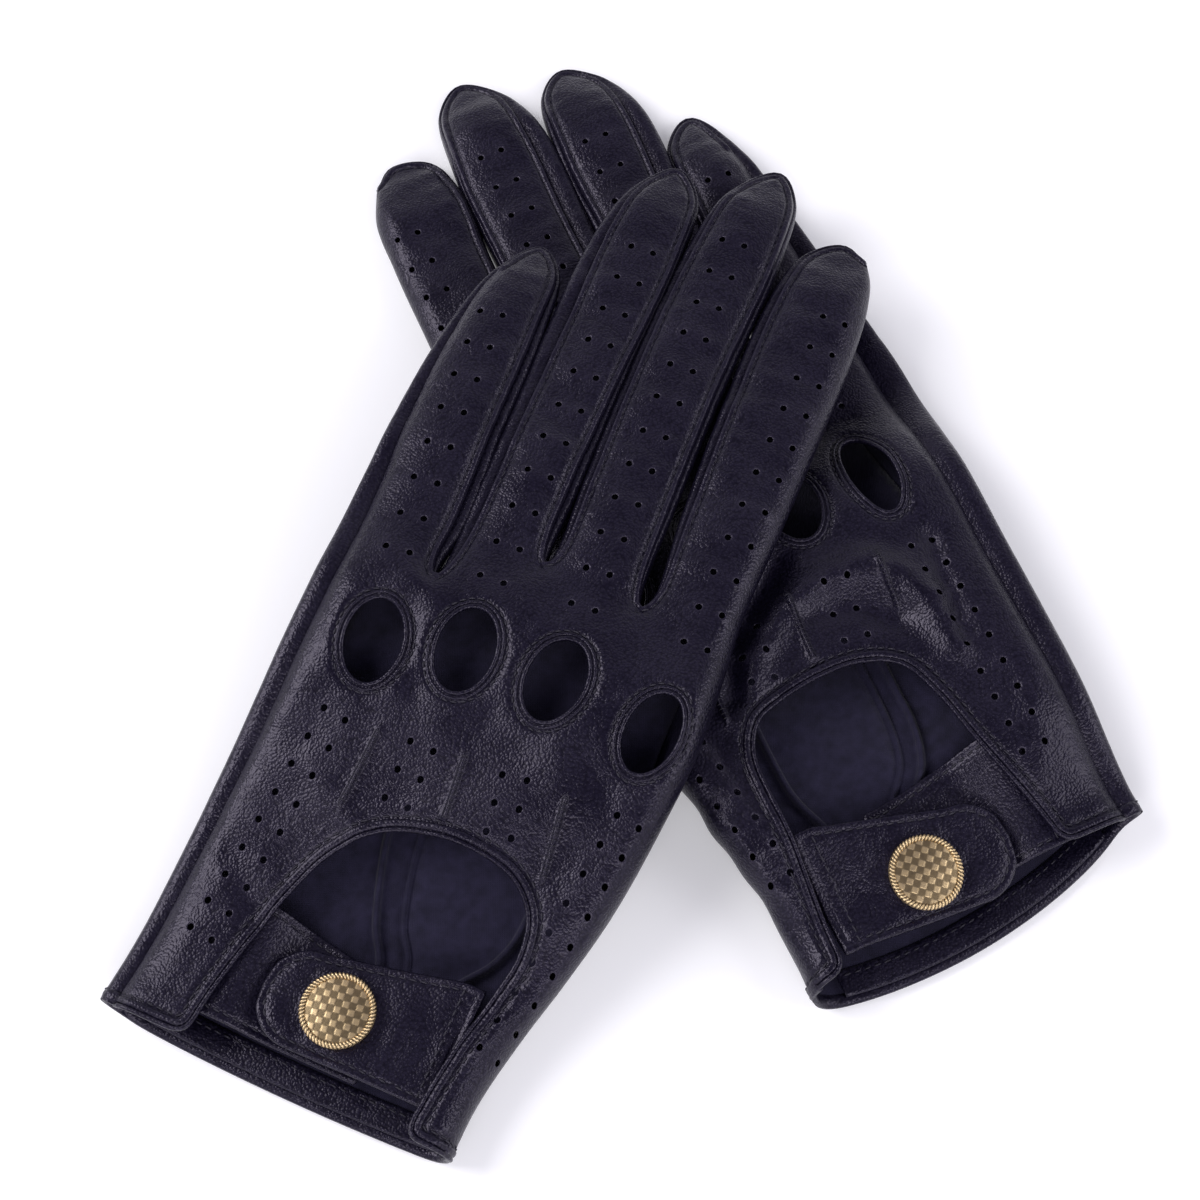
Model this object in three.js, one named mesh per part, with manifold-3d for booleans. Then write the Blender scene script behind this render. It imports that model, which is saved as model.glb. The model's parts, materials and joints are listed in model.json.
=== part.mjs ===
// A pair of leather driving gloves, the left one laid across the right one.
//
// Each glove is a flat, hollow hand: a back and a palm sheet of lined leather, four fingers that
// are each a back sheet, a palm sheet and two side strips, and a thumb folded under the palm.
// The back has four oval knuckle holes and a D-shaped opening that runs out at the cuff. A strap
// crosses that opening in two halves, and a ring-and-stud snap with a domed cap joins them.
//
// Units are millimetres. A glove is drawn in its own pattern frame: u runs across the hand towards
// the thumb, v runs from the cuff to the fingertips, and z is height above the table. The right
// glove is the left one's mirror image. The row frame has +Z up, with its origin on the table
// under the middle of the pair.
import * as THREE from "three";
import { mergeVertices } from "three/addons/utils/BufferGeometryUtils.js";
import Module from "manifold-3d";

const wasm = await Module();
wasm.setup();

// Driving dimensions of the leather.
const WALL = 1.2; // leather and its lining together
const GAP = 0.35; // clearance between neighbouring solids
const HAND_THICKNESS = 11.5; // outside of the palm to outside of the back
const FINGER_THICKNESS = 9;
const ROLL = 5.2; // radius of the rounded long sides of the hand

// Driving dimensions of the pattern.
const CUFF_START = 1.8; // the sheets begin above the cuff binding
const KNUCKLE_LINE = 112; // the hand ends and the three long fingers begin
const LITTLE_LINE = 100.6; // the little finger begins lower
const LITTLE_EDGE = -38;
const CUFF_EDGE = 38;
const KNUCKLE_EDGE = 48.5;

// Fingers are given for each glove below: base and tip on the pattern, and half the width.
const TIP_ROUND = 11; // length of a fingertip's rounding
const TIP_TAPER = 14; // length over which a fingertip thins
const CROTCHES = [
  { at: [-14.3, 99.5], width: 2.8 },
  { at: [5.9, 110.3], width: 2.6 },
  { at: [26.9, 110], width: 3 },
];

// Oval knuckle holes: centre, half width and half length.
const KNUCKLE_HOLES = [
  { at: [-18.5, 81.5], half: [5.6, 8.6] },
  { at: [0, 87], half: [5.7, 9] },
  { at: [18, 87.5], half: [5.9, 9] },
  { at: [39.5, 86], half: [5.5, 8.6] },
];

// Edge of the opening in the back, from the cuff round to the cuff again.
const OPENING = [
  [-18.5, -4], [-16.8, 10], [-13.5, 26], [-9, 39], [0, 48], [14, 51.5],
  [26, 49.5], [32, 43], [32.5, 35], [30.5, 25], [28.5, 10], [28, -4],
];

// Strap and snap.
const STRAP = 1.6; // two layers of leather
const CAP_RADIUS = 7.5;
const CAP_HEIGHT = 2.4;
const SOCKET = { outer: 4.6, bore: 2.2, height: 1.7 };
const STUD = { flange: 4.2, flangeHeight: 0.4, knob: 1.7, knobHeight: 1.5 };
const EYELET = { radius: 4, height: 0.7 };
const STRAP_ROOT = 25.6; // where the snap half of the strap hinges, inside the binding
const SNAP_STACK = STUD.flangeHeight + SOCKET.height + 3 * GAP; // space between the two straps

const THUMB = { half: 9, thickness: 5.8 };

// How each glove lies. lift is the height of its palm's underside along v, and mouthBow is how far
// the middle of the palm's hem reaches past its ends.
const smooth = (from, to, x) => THREE.MathUtils.smoothstep(x, from, to);
const GLOVES = [
  {
    name: "right",
    mirrored: true,
    place: [75.5, -65.1],
    heading: -24.98,
    fingers: {
      index: { base: [38.4, 113.3], tip: [38, 209], half: 9.4 },
      middle: { base: [16.8, 113.3], tip: [15.6, 224], half: 8.9 },
      ring: { base: [-4, 113.3], tip: [-8, 218], half: 8.7 },
      little: { base: [-26, 101.7], tip: [-29.5, 192.5], half: 9.6 },
    },
    snap: [8.9, 9.6],
    strapRoot: 13.8,
    thumb: { base: [35, 45], tip: [0, 71] },
    strapSlope: 0.2,
    mouthBow: 7,
    lift: (v) => 1 - smooth(0, 10, v) + 6.8 * smooth(4, 34, v) * (1 - smooth(82, 110, v)),
  },
  {
    name: "left",
    mirrored: false,
    place: [-61.4, -99.5],
    heading: 24.06,
    fingers: {
      index: { base: [37, 113.3], tip: [35, 209.5], half: 9.1 },
      middle: { base: [16, 113.3], tip: [11, 222], half: 8.9 },
      ring: { base: [-4, 113.3], tip: [-9.2, 213], half: 8.7 },
      little: { base: [-25.8, 101.7], tip: [-28, 183.5], half: 9.4 },
    },
    snap: [5.9, 14.9],
    strapRoot: 17.6,
    thumb: { base: [35, 60], tip: [2, 86] },
    strapSlope: 0,
    mouthBow: 1.5,
    lift: (v) => 1 + 18.4 * smooth(12, 98, v) - 5 * smooth(122, 205, v),
  },
];

const leather = new THREE.MeshStandardMaterial({ color: 0x1d1b22, roughness: 0.5, metalness: 0 });
const lining = new THREE.MeshStandardMaterial({ color: 0x181a30, roughness: 0.95, metalness: 0 });
const brass = new THREE.MeshStandardMaterial({ color: 0xb49a5c, roughness: 0.35, metalness: 1 });
const steel = new THREE.MeshStandardMaterial({ color: 0x9a9a98, roughness: 0.4, metalness: 1 });

// ---- Geometry helpers ----

// A closed sheet: a subdivided box whose corners (a, b, top) go where place says.
function sheet(columns, rows, place) {
  const geometry = new THREE.BoxGeometry(1, 1, 1, columns, rows, 1);
  const position = geometry.getAttribute("position");
  for (let i = 0; i < position.count; i++) {
    const p = place(position.getX(i) + 0.5, position.getY(i) + 0.5, position.getZ(i) > 0);
    position.setXYZ(i, ...p);
  }
  return positionsOnly(geometry);
}

function positionsOnly(geometry) {
  geometry.deleteAttribute("normal");
  geometry.deleteAttribute("uv");
  return mergeVertices(geometry, 1e-4);
}

function solidOf(geometry) {
  const merged = positionsOnly(geometry);
  return new wasm.Manifold(
    new wasm.Mesh({
      numProp: 3,
      vertProperties: new Float32Array(merged.getAttribute("position").array),
      triVerts: new Uint32Array(merged.index.array),
    }),
  );
}

function cut(geometry, cutters) {
  let solid = solidOf(geometry);
  for (const cutter of cutters) solid = solid.subtract(solidOf(cutter));
  const mesh = solid.getMesh();
  return new THREE.BufferGeometry()
    .setAttribute("position", new THREE.BufferAttribute(mesh.vertProperties, 3))
    .setIndex(new THREE.BufferAttribute(mesh.triVerts, 1));
}

// An upright prism through the whole glove over a flat outline.
function prism(shape, segments = 6) {
  const tall = 80;
  return new THREE.ExtrudeGeometry(shape, {
    depth: tall,
    bevelEnabled: false,
    curveSegments: segments,
  }).translate(0, 0, -tall / 4);
}

function oval([u, v], [halfWidth, halfLength]) {
  return new THREE.Shape().absellipse(u, v, halfWidth, halfLength, 0, 2 * Math.PI);
}

function rectangle(left, bottom, right, top) {
  return new THREE.Shape([
    new THREE.Vector2(left, bottom),
    new THREE.Vector2(right, bottom),
    new THREE.Vector2(right, top),
    new THREE.Vector2(left, top),
  ]);
}

// A strip of oval section along a path.
function strip(points, across, along, steps) {
  const section = new THREE.Shape(
    new THREE.EllipseCurve(0, 0, across, along, 0, 2 * Math.PI).getPoints(8).slice(0, 8),
  );
  const extrudePath = new THREE.CatmullRomCurve3(points.map((p) => new THREE.Vector3(...p)));
  return new THREE.ExtrudeGeometry(section, { steps, extrudePath, bevelEnabled: false });
}

// A turned piece about +Z from a profile of [radius, height] that closes on itself.
function turned(profile, segments = 20) {
  const points = [...profile, profile[0]].map(([r, z]) => new THREE.Vector2(r, z));
  return new THREE.LatheGeometry(points, segments).rotateX(Math.PI / 2);
}

// ---- The hand's form on the pattern ----

function indexEdge(v) {
  return CUFF_EDGE + (KNUCKLE_EDGE - CUFF_EDGE) * smooth(10, 70, v) - 2.5 * smooth(88, 115, v);
}

// The four surfaces of the hand at (u, v), for a glove with this lift.
function handSurfaces(lift, u, v) {
  const edge = Math.min(u - LITTLE_EDGE, indexEdge(v) - u);
  const thin = HAND_THICKNESS - (HAND_THICKNESS - FINGER_THICKNESS) * smooth(92, KNUCKLE_LINE, v);
  const half = (thin / 2) * Math.sqrt(1 - 0.9 * Math.max(0, 1 - edge / ROLL) ** 2);
  const middle = lift(v) + thin / 2;
  return {
    middle,
    backOuter: middle + half,
    backInner: middle + half - WALL,
    palmInner: middle - half + WALL,
    palmOuter: middle - half,
  };
}

// Columns crowd towards the rounded sides.
const acrossHand = (a, v) => {
  const x = (Math.sin((a - 0.5) * Math.PI) + 1) / 2;
  return LITTLE_EDGE + x * (indexEdge(v) - LITTLE_EDGE);
};

// How far the palm's hem bows out of the cuff at u.
function bowAt(bow, u) {
  const x = (2 * u - LITTLE_EDGE - CUFF_EDGE) / (CUFF_EDGE - LITTLE_EDGE - 2 * ROLL);
  return bow * Math.max(0, 1 - x * x);
}

function handSheet(lift, outer, inner, bow = 0) {
  return sheet(12, 14, (a, b, top) => {
    const start = CUFF_START - bowAt(bow, acrossHand(a, CUFF_START));
    const v = start + b * (KNUCKLE_LINE - start);
    const u = acrossHand(a, v);
    const surfaces = handSurfaces(lift, u, v);
    return [u, v, Math[top ? "max" : "min"](surfaces[outer], surfaces[inner])];
  });
}

// What is cut from both sheets of the hand at the base of the fingers.
function fingerCutters() {
  const slots = CROTCHES.map(({ at: [u, v], width }) =>
    prism(rectangle(u - width / 2, v, u + width / 2, KNUCKLE_LINE + 5)),
  );
  const littleRoom = rectangle(LITTLE_EDGE - 5, LITTLE_LINE, CROTCHES[0].at[0], KNUCKLE_LINE + 5);
  return [...slots, prism(littleRoom)];
}

function openingShape() {
  const edge = new THREE.CatmullRomCurve3(OPENING.map(([u, v]) => new THREE.Vector3(u, v, 0)));
  return new THREE.Shape(edge.getPoints(26).map((p) => new THREE.Vector2(p.x, p.y)));
}

function thumbHole({ base, tip }) {
  const along = new THREE.Vector2(tip[0] - base[0], tip[1] - base[1]).normalize();
  return oval([base[0] + 7 * along.x, base[1] + 7 * along.y], [9, 9]);
}

// ---- Fingers ----

// A point of a finger: s along it, x from -1 to 1 across it.
function fingerFrame({ base, tip, half }) {
  const from = new THREE.Vector2(...base);
  const along = new THREE.Vector2(...tip).sub(from);
  const length = along.length();
  along.normalize();
  const across = new THREE.Vector2(along.y, -along.x);
  const narrow = (s) => {
    const t = Math.max(0, s - (length - TIP_ROUND)) / (TIP_ROUND + 0.4);
    return half * Math.sqrt(1 - t ** 2.2);
  };
  const at = (s, offset) => [
    from.x + along.x * s + across.x * offset,
    from.y + along.y * s + across.y * offset,
  ];
  return { length, narrow, at, across };
}

function fingerSurfaces(lift, length, v, s, x) {
  const taper = smooth(length - TIP_TAPER, length, s);
  const bottom = lift(v) + 2.2 * taper;
  const top = lift(v) + FINGER_THICKNESS - 0.8 * x * x - 2.4 * taper;
  return { backOuter: top, backInner: top - WALL, palmInner: bottom + WALL, palmOuter: bottom };
}

function fingerSheet(lift, finger, outer, inner) {
  const { length, narrow, at } = fingerFrame(finger);
  return sheet(3, 10, (a, b, top) => {
    const s = length * (1 - (1 - b) ** 1.5);
    const [u, v] = at(s, (2 * a - 1) * narrow(s));
    const surfaces = fingerSurfaces(lift, length, v, s, 2 * a - 1);
    return [u, v, Math[top ? "max" : "min"](surfaces[outer], surfaces[inner])];
  });
}

// The side of a finger between its two sheets; side is -1 or 1 across it.
function fingerSide(lift, finger, side) {
  const { length, narrow, at } = fingerFrame(finger);
  const end = length - TIP_ROUND + 2;
  return sheet(1, 8, (a, b, top) => {
    const s = end * b;
    const [u, v] = at(s, side * (narrow(s) - (side < 0 ? a : 1 - a) * WALL));
    const { backInner, palmInner } = fingerSurfaces(lift, length, v, s, 1);
    return [u, v, top ? backInner - GAP : palmInner + GAP];
  });
}

// ---- Thumb, folded flat under the palm ----

function thumbSheet(lift, { base, tip }, upper) {
  const { length, narrow, at } = fingerFrame({ base, tip, half: THUMB.half });
  const start = upper ? 19 : -3;
  return sheet(3, 8, (a, b, top) => {
    const s = start + (length - start) * (1 - (1 - b) ** 1.5);
    const [u, v] = at(s, (2 * a - 1) * narrow(s));
    const roof = lift(v) - GAP;
    const floor = roof - THUMB.thickness + 1.2 * smooth(length - 12, length, s);
    const outer = upper ? roof : floor + WALL;
    return [u, v, top ? outer : outer - WALL];
  });
}

// ---- Straps and snap ----

// The plane that the snap half of the strap lies in near the snap: its underside.
function strapPlane(glove) {
  const [u, v] = glove.snap;
  const height = handSurfaces(glove.lift, u, v).backOuter - STRAP + 0.2;
  return (at) => height + glove.strapSlope * (at - v);
}

function snapStrap(glove) {
  const plane = strapPlane(glove);
  const length = STRAP_ROOT + 10;
  const round = 9;
  return sheet(10, 6, (a, b, top) => {
    const s = length * (1 - a) ** 1.4;
    const t = Math.max(0, s - (length - round)) / (round + 0.5);
    const half = (12.4 - 2.6 * smooth(4, 26, s)) * Math.sqrt(1 - t * t);
    const middle = THREE.MathUtils.lerp(glove.strapRoot, glove.snap[1] - 0.4, smooth(0, 24, s));
    const v = middle + (2 * b - 1) * half;
    const u = STRAP_ROOT - s;
    const root = handSurfaces(glove.lift, u, v).backInner - STRAP;
    const under = THREE.MathUtils.lerp(root, plane(v), smooth(0, 14, s));
    return [u, v, top ? under + STRAP : under];
  });
}

function studStrap(glove) {
  const plane = strapPlane(glove);
  return sheet(8, 4, (a, b, top) => {
    const u = THREE.MathUtils.lerp(-23, 14, a);
    const v = THREE.MathUtils.lerp(4.5, 29 - 3.5 * smooth(-16, 14, u), b);
    const root = handSurfaces(glove.lift, u, v).backInner - GAP;
    const face = THREE.MathUtils.lerp(root, plane(v) - SNAP_STACK, smooth(-16, -4, u));
    return [u, v, top ? face : face - STRAP];
  });
}

const snapPieces = {
  snap_cap: () =>
    turned([
      [0.01, GAP], [CAP_RADIUS, GAP], [CAP_RADIUS, 1.3], [6.4, 1.9], [3.5, CAP_HEIGHT - 0.1],
      [0.01, CAP_HEIGHT],
    ]).translate(0, 0, STRAP),
  snap_socket: () =>
    turned([
      [SOCKET.bore, 0], [SOCKET.outer, 0], [SOCKET.outer - 0.8, SOCKET.height],
      [SOCKET.bore, SOCKET.height],
    ]).translate(0, 0, -GAP - SOCKET.height),
  snap_stud: () =>
    turned([
      [0.01, 0], [STUD.flange, 0], [STUD.flange, STUD.flangeHeight],
      [STUD.knob - 0.3, STUD.flangeHeight], [STUD.knob, STUD.flangeHeight + STUD.knobHeight / 2],
      [STUD.knob - 0.4, STUD.flangeHeight + STUD.knobHeight],
      [0.01, STUD.flangeHeight + STUD.knobHeight],
    ]).translate(0, 0, GAP - SNAP_STACK),
  snap_eyelet: () =>
    turned([
      [0.01, 0], [EYELET.radius - 0.6, 0], [EYELET.radius, 0.3], [EYELET.radius, EYELET.height],
      [0.01, EYELET.height],
    ]).translate(0, 0, -SNAP_STACK - STRAP - GAP - EYELET.height),
};

// ---- Bindings ----

function openingBinding(lift) {
  const edge = new THREE.CatmullRomCurve3(OPENING.map(([u, v]) => new THREE.Vector3(u, v, 0)));
  const inset = 1.25;
  const points = [];
  for (let i = 0; i <= 30; i++) {
    const p = edge.getPointAt(i / 30);
    const t = edge.getTangentAt(i / 30);
    const [u, v] = [p.x + t.y * inset, p.y - t.x * inset];
    if (v > CUFF_START + 0.4) points.push([u, v, handSurfaces(lift, u, v).backOuter - 0.7]);
  }
  return strip(points, 0.8, 0.8, 36);
}

// The hem strip from one side of the opening, round the palm, to the other side.
function cuffBinding({ lift, mouthBow }) {
  const v = CUFF_START - 2;
  const radius = HAND_THICKNESS / 2 - WALL / 2;
  const middle = handSurfaces(lift, 0, v).middle;
  const left = LITTLE_EDGE + ROLL;
  const right = CUFF_EDGE - ROLL;
  const points = [[OPENING[0][0] - 0.6, v, middle + radius], [left, v, middle + radius]];
  for (let i = 1; i < 8; i++) {
    const turn = (Math.PI * i) / 8;
    points.push([left - radius * Math.sin(turn), v, middle + radius * Math.cos(turn)]);
  }
  for (let i = 0; i <= 8; i++) {
    const u = THREE.MathUtils.lerp(left, right, i / 8);
    points.push([u, v - bowAt(mouthBow, u), middle - radius]);
  }
  for (let i = 1; i < 8; i++) {
    const turn = (Math.PI * i) / 8;
    points.push([right + radius * Math.sin(turn), v, middle - radius * Math.cos(turn)]);
  }
  points.push([OPENING.at(-1)[0] + 1.2, v, middle + radius]);
  return strip(points, 1.1, 1.5, 60);
}

// ---- One glove ----

function makeGlove(glove) {
  const { name, lift } = glove;
  const group = new THREE.Group();
  const add = (node, geometry, material = leather) => {
    const mesh = new THREE.Mesh(geometry, material);
    mesh.name = `${name}_${node}`;
    group.add(mesh);
    return mesh;
  };

  const holes = KNUCKLE_HOLES.map(({ at, half }) => prism(oval(at, half), 4));
  const backCutters = [prism(openingShape()), ...holes, ...fingerCutters()];
  add("hand_back", cut(handSheet(lift, "backOuter", "backInner"), backCutters));
  const palmCutters = [prism(thumbHole(glove.thumb), 4), ...fingerCutters()];
  const palm = handSheet(lift, "palmOuter", "palmInner", glove.mouthBow);
  add("hand_palm", cut(palm, palmCutters));

  const liningSheet = sheet(8, 8, (a, b, top) => {
    const v = THREE.MathUtils.lerp(5, 97, b);
    const u = THREE.MathUtils.lerp(LITTLE_EDGE + 4.5, indexEdge(v) - 4.5, a);
    return [u, v, handSurfaces(lift, u, v).palmInner + (top ? 1.3 : 0.7)];
  });
  add("palm_lining", cut(liningSheet, [prism(thumbHole(glove.thumb), 4)]), lining);

  for (const [finger, shape] of Object.entries(glove.fingers)) {
    add(`${finger}_back`, fingerSheet(lift, shape, "backOuter", "backInner"));
    add(`${finger}_palm`, fingerSheet(lift, shape, "palmOuter", "palmInner"));
    for (const side of [-1, 1]) {
      const folded = finger === "index" && side === 1;
      const seamed = finger === "little" && side === -1;
      const toThumb = side === 1 ? "thumb_side" : "outer_side";
      const node = folded || seamed ? `${finger}_${toThumb}` : `${finger}_${toThumb}_fourchette`;
      add(node, fingerSide(lift, shape, side));
    }
  }

  add("thumb_front", thumbSheet(lift, glove.thumb, true));
  add("thumb_back", thumbSheet(lift, glove.thumb, false));
  add("opening_binding", openingBinding(lift));
  add("cuff_binding", cuffBinding(glove));
  add("stud_strap", studStrap(glove));
  add("snap_strap", snapStrap(glove));

  const [u, v] = glove.snap;
  for (const [node, make] of Object.entries(snapPieces)) {
    const inside = node === "snap_cap" || node === "snap_stud" ? brass : steel;
    const mesh = add(node, make(), inside);
    mesh.position.set(u, v, strapPlane(glove)(v));
    mesh.rotation.x = Math.atan(glove.strapSlope);
  }

  group.scale.x = glove.mirrored ? -1 : 1;
  group.rotation.z = THREE.MathUtils.degToRad(-glove.heading);
  group.position.set(...glove.place, 0);
  return group;
}

const gloves = new THREE.Group();
gloves.name = "driving_gloves";
for (const glove of GLOVES) gloves.add(makeGlove(glove));

// Bring the middle of the pair's footprint to the origin.
gloves.updateMatrixWorld(true);
const box = new THREE.Box3().setFromObject(gloves, true);
const centre = box.getCenter(new THREE.Vector3());
for (const glove of gloves.children) {
  glove.position.x -= centre.x;
  glove.position.y -= centre.y;
  glove.position.z -= box.min.z;
}

export default gloves;
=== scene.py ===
"""A pair of leather driving gloves, the left one laid across the right one.

Each glove is drawn on a flat pattern in millimetres: u runs across the hand towards the thumb, v
from the cuff to the fingertips, and z is height above the table. The pattern is folded round the
index-finger side of the hand, raised to the height that the glove lies at, and then placed in the
row frame. Leather sheets are triangulated on the pattern with every hole cut, and stitches,
bindings, straps and snaps are made on top of the same surface.
"""
import json
import math

import bpy
import numpy as np
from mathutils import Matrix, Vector, noise
from mathutils.geometry import delaunay_2d_cdt
from mathutils.kdtree import KDTree

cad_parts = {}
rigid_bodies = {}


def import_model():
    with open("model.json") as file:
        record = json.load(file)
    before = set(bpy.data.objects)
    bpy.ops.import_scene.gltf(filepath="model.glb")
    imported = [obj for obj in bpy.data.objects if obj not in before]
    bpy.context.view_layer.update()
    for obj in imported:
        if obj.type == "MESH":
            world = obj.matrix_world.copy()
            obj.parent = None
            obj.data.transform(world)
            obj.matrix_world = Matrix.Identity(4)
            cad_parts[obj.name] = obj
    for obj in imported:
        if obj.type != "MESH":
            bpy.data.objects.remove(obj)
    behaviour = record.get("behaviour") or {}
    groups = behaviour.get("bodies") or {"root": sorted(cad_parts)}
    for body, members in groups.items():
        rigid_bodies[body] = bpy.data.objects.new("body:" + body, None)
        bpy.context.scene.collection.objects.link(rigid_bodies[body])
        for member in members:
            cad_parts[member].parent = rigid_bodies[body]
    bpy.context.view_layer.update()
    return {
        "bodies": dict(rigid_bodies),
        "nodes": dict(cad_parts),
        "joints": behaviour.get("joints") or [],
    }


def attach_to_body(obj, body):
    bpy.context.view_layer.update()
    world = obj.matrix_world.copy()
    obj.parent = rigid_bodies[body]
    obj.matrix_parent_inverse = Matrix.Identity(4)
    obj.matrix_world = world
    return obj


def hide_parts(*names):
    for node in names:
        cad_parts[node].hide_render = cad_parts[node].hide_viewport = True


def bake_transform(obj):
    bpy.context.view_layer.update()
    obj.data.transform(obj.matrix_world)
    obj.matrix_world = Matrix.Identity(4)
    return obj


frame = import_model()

MM = 0.001
LAST = -1

# ---- Thicknesses and roundings, in millimetres ----

HAND_THICKNESS = 11.5
FINGER_THICKNESS = 9.0
TIP_THINNING = 3.9  # how much thinner a fingertip is than its finger
LEATHER = 0.9
FOLD_RADIUS = 5.2  # the fold along the index-finger side
FOLD_ARC = 8.4  # length of pattern taken by a quarter of that fold
EDGE_DROP = 1.7  # a sheet's height lost at a seam
EDGE_REACH = 7.0  # how far in from a seam the sheet curves down
STRAP = 1.6
GAP = 0.35
SNAP_STACK = 3.15  # space between the two halves of the strap
STITCH_INSET = 1.46
HOLE = 0.66  # radius of a punched hole
SEAM_RINGS = (0.2, 0.42, 0.75, 1.12, 1.36, 1.56, 1.8, 2.3, 3.1, 4.3)
GRID = 1.75  # spacing of the sheets' inner vertices
WALL_ROWS = 11  # rows of vertices down a finger's side
FACING = 7.0  # width of the leather facing inside the palm's hem
STRAP_ROOT_U = 25.6  # where the snap half of the strap leaves the back
HINGE_U = 25.8  # where part.mjs puts the strap's hinge across the pattern
STRAP_RINGS = (0.35, 0.8, 1.25, 1.55, 1.85, 2.4)
STITCH_SLANT = 0.12
CAP_RADIUS = 7.5
FACE_RADIUS = 6.5
CHECK = 1.36  # side of one square of the cap's face

# Where the lifting fingers' pieces start, and a stretch of each, along the pattern.
LITTLE_SPLIT, FINGER_SPLIT = 96, 104
BEND = {"little": (99.6, 111), "ring": (111.7, 122), "middle": (111.7, 122), "index": (111.7, 122)}
BEND_HEIGHT = 20.0

CAMERA_ELEVATION = 66.0
CAMERA_DISTANCE = 0.5
CAMERA_LENS = 72.27


def smooth(start, end, x):
    t = np.clip((np.asarray(x, float) - start) / (end - start), 0, 1)
    return t * t * (3 - 2 * t)


def ridge(offset, width):
    """A rounded ridge, one unit high where the offset is nothing."""
    return np.exp(-((offset / width) ** 2))


def unit(vectors):
    """The same vectors, made one unit long."""
    return vectors / np.maximum(np.linalg.norm(vectors, axis=-1, keepdims=True), 1e-12)


def unevenness(points, across, along, seed):
    """Smooth noise at pattern points, with its frequency across and along the hand."""
    return np.array([noise.noise((u * across, v * along, seed)) for u, v in points])


def through(*points):
    """A smooth curve through (v, u) points, as a function of v."""
    v, u = np.array(points, float).T
    slope = np.gradient(u, v)

    def at(x):
        x = np.clip(np.asarray(x, float), v[0], v[LAST])
        i = np.clip(np.searchsorted(v, x) - 1, 0, len(v) - 2)
        span = v[i + 1] - v[i]
        t = (x - v[i]) / span
        value = (1 + 2 * t) * (1 - t) ** 2 * u[i] + t * t * (3 - 2 * t) * u[i + 1]
        return value + span * (t * (1 - t) ** 2 * slope[i] - t * t * (1 - t) * slope[i + 1])

    return at


def spline(points, spacing):
    """Points at an even spacing on a centripetal Catmull-Rom curve through the given ones."""
    p = np.array(points, float)
    p = np.vstack([2 * p[0] - p[1], p, 2 * p[LAST] - p[LAST - 1]])
    fine = []
    for a, b, c, d in zip(p, p[1:], p[2:], p[3:]):
        ab, bc, cd = (max(np.linalg.norm((y - x)[:2]), 1e-6) ** 0.5 for x, y in ((a, b), (b, c), (c, d)))
        m1 = bc * ((b - a) / ab - (c - a) / (ab + bc) + (c - b) / bc)
        m2 = bc * ((c - b) / bc - (d - b) / (bc + cd) + (d - c) / cd)
        t = np.linspace(0, 1, 24, endpoint=False)[:, None]
        fine.append(
            (2 * t**3 - 3 * t**2 + 1) * b + (t**3 - 2 * t**2 + t) * m1
            + (3 * t**2 - 2 * t**3) * c + (t**3 - t**2) * m2
        )
    return even(np.vstack(fine + [p[LAST - 1 : LAST]]), spacing)


def even(points, spacing):
    """The same line with its points an even distance apart."""
    step = np.linalg.norm(np.diff(points[:, :2], axis=0), axis=1)
    along = np.concatenate([[0], np.cumsum(step)])
    count = max(2, round(along[LAST] / spacing) + 1)
    wanted = np.linspace(0, along[LAST], count)
    return np.column_stack([np.interp(wanted, along, column) for column in points.T])


def normals_2d(points):
    """Unit normals to the right of a line's direction."""
    run = unit(np.gradient(points[:, :2], axis=0))
    return np.column_stack([run[:, 1], -run[:, 0]])


def distance(points, chain):
    """Distance of each point from a chain of straight segments."""
    a, b = chain[:-1, :2], chain[1:, :2]
    run = b - a
    squared = np.maximum((run**2).sum(1), 1e-12)
    nearest = []
    for block in np.array_split(points[:, :2], max(1, len(points) // 1500)):
        off = block[:, None] - a
        t = np.clip((off * run).sum(2) / squared, 0, 1)
        nearest.append(np.sqrt((((off - t[..., None] * run) ** 2).sum(2)).min(1)))
    return np.concatenate(nearest)


def inside(points, loops):
    """Whether each point is inside an odd number of closed loops."""
    within = np.zeros(len(points), bool)
    for loop in loops:
        a, b = loop[:, :2], np.roll(loop[:, :2], -1, axis=0)
        rise = np.where(np.abs(b[:, 1] - a[:, 1]) < 1e-12, 1e-12, b[:, 1] - a[:, 1])
        for part in np.array_split(np.arange(len(points)), max(1, len(points) // 1500)):
            x, y = points[part, 0][:, None], points[part, 1][:, None]
            crosses = (a[:, 1] > y) != (b[:, 1] > y)
            left = x < a[:, 0] + (y - a[:, 1]) / rise * (b[:, 0] - a[:, 0])
            within[part] ^= (crosses & left).sum(1) % 2 == 1
    return within


def ellipse(centre, half, tilt=0, count=36):
    """An ellipse whose top leans by tilt degrees towards the little finger."""
    a = np.linspace(0, 2 * math.pi, count, endpoint=False)
    x, y = half[0] * np.cos(a), half[1] * np.sin(a)
    c, s = math.cos(math.radians(tilt)), math.sin(math.radians(tilt))
    return np.column_stack([centre[0] + x * c - y * s, centre[1] + x * s + y * c])


def pairs(start, end, count, spacing=5.0):
    """Centres of punched holes in a column of pairs."""
    run = np.array(end, float) - start
    across = unit(np.array([run[1], -run[0]]))
    middles = np.linspace(start, end, count)
    return [middle + side * spacing / 2 * across for middle in middles for side in (-1, 1)]


# ---- The two gloves ----

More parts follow.
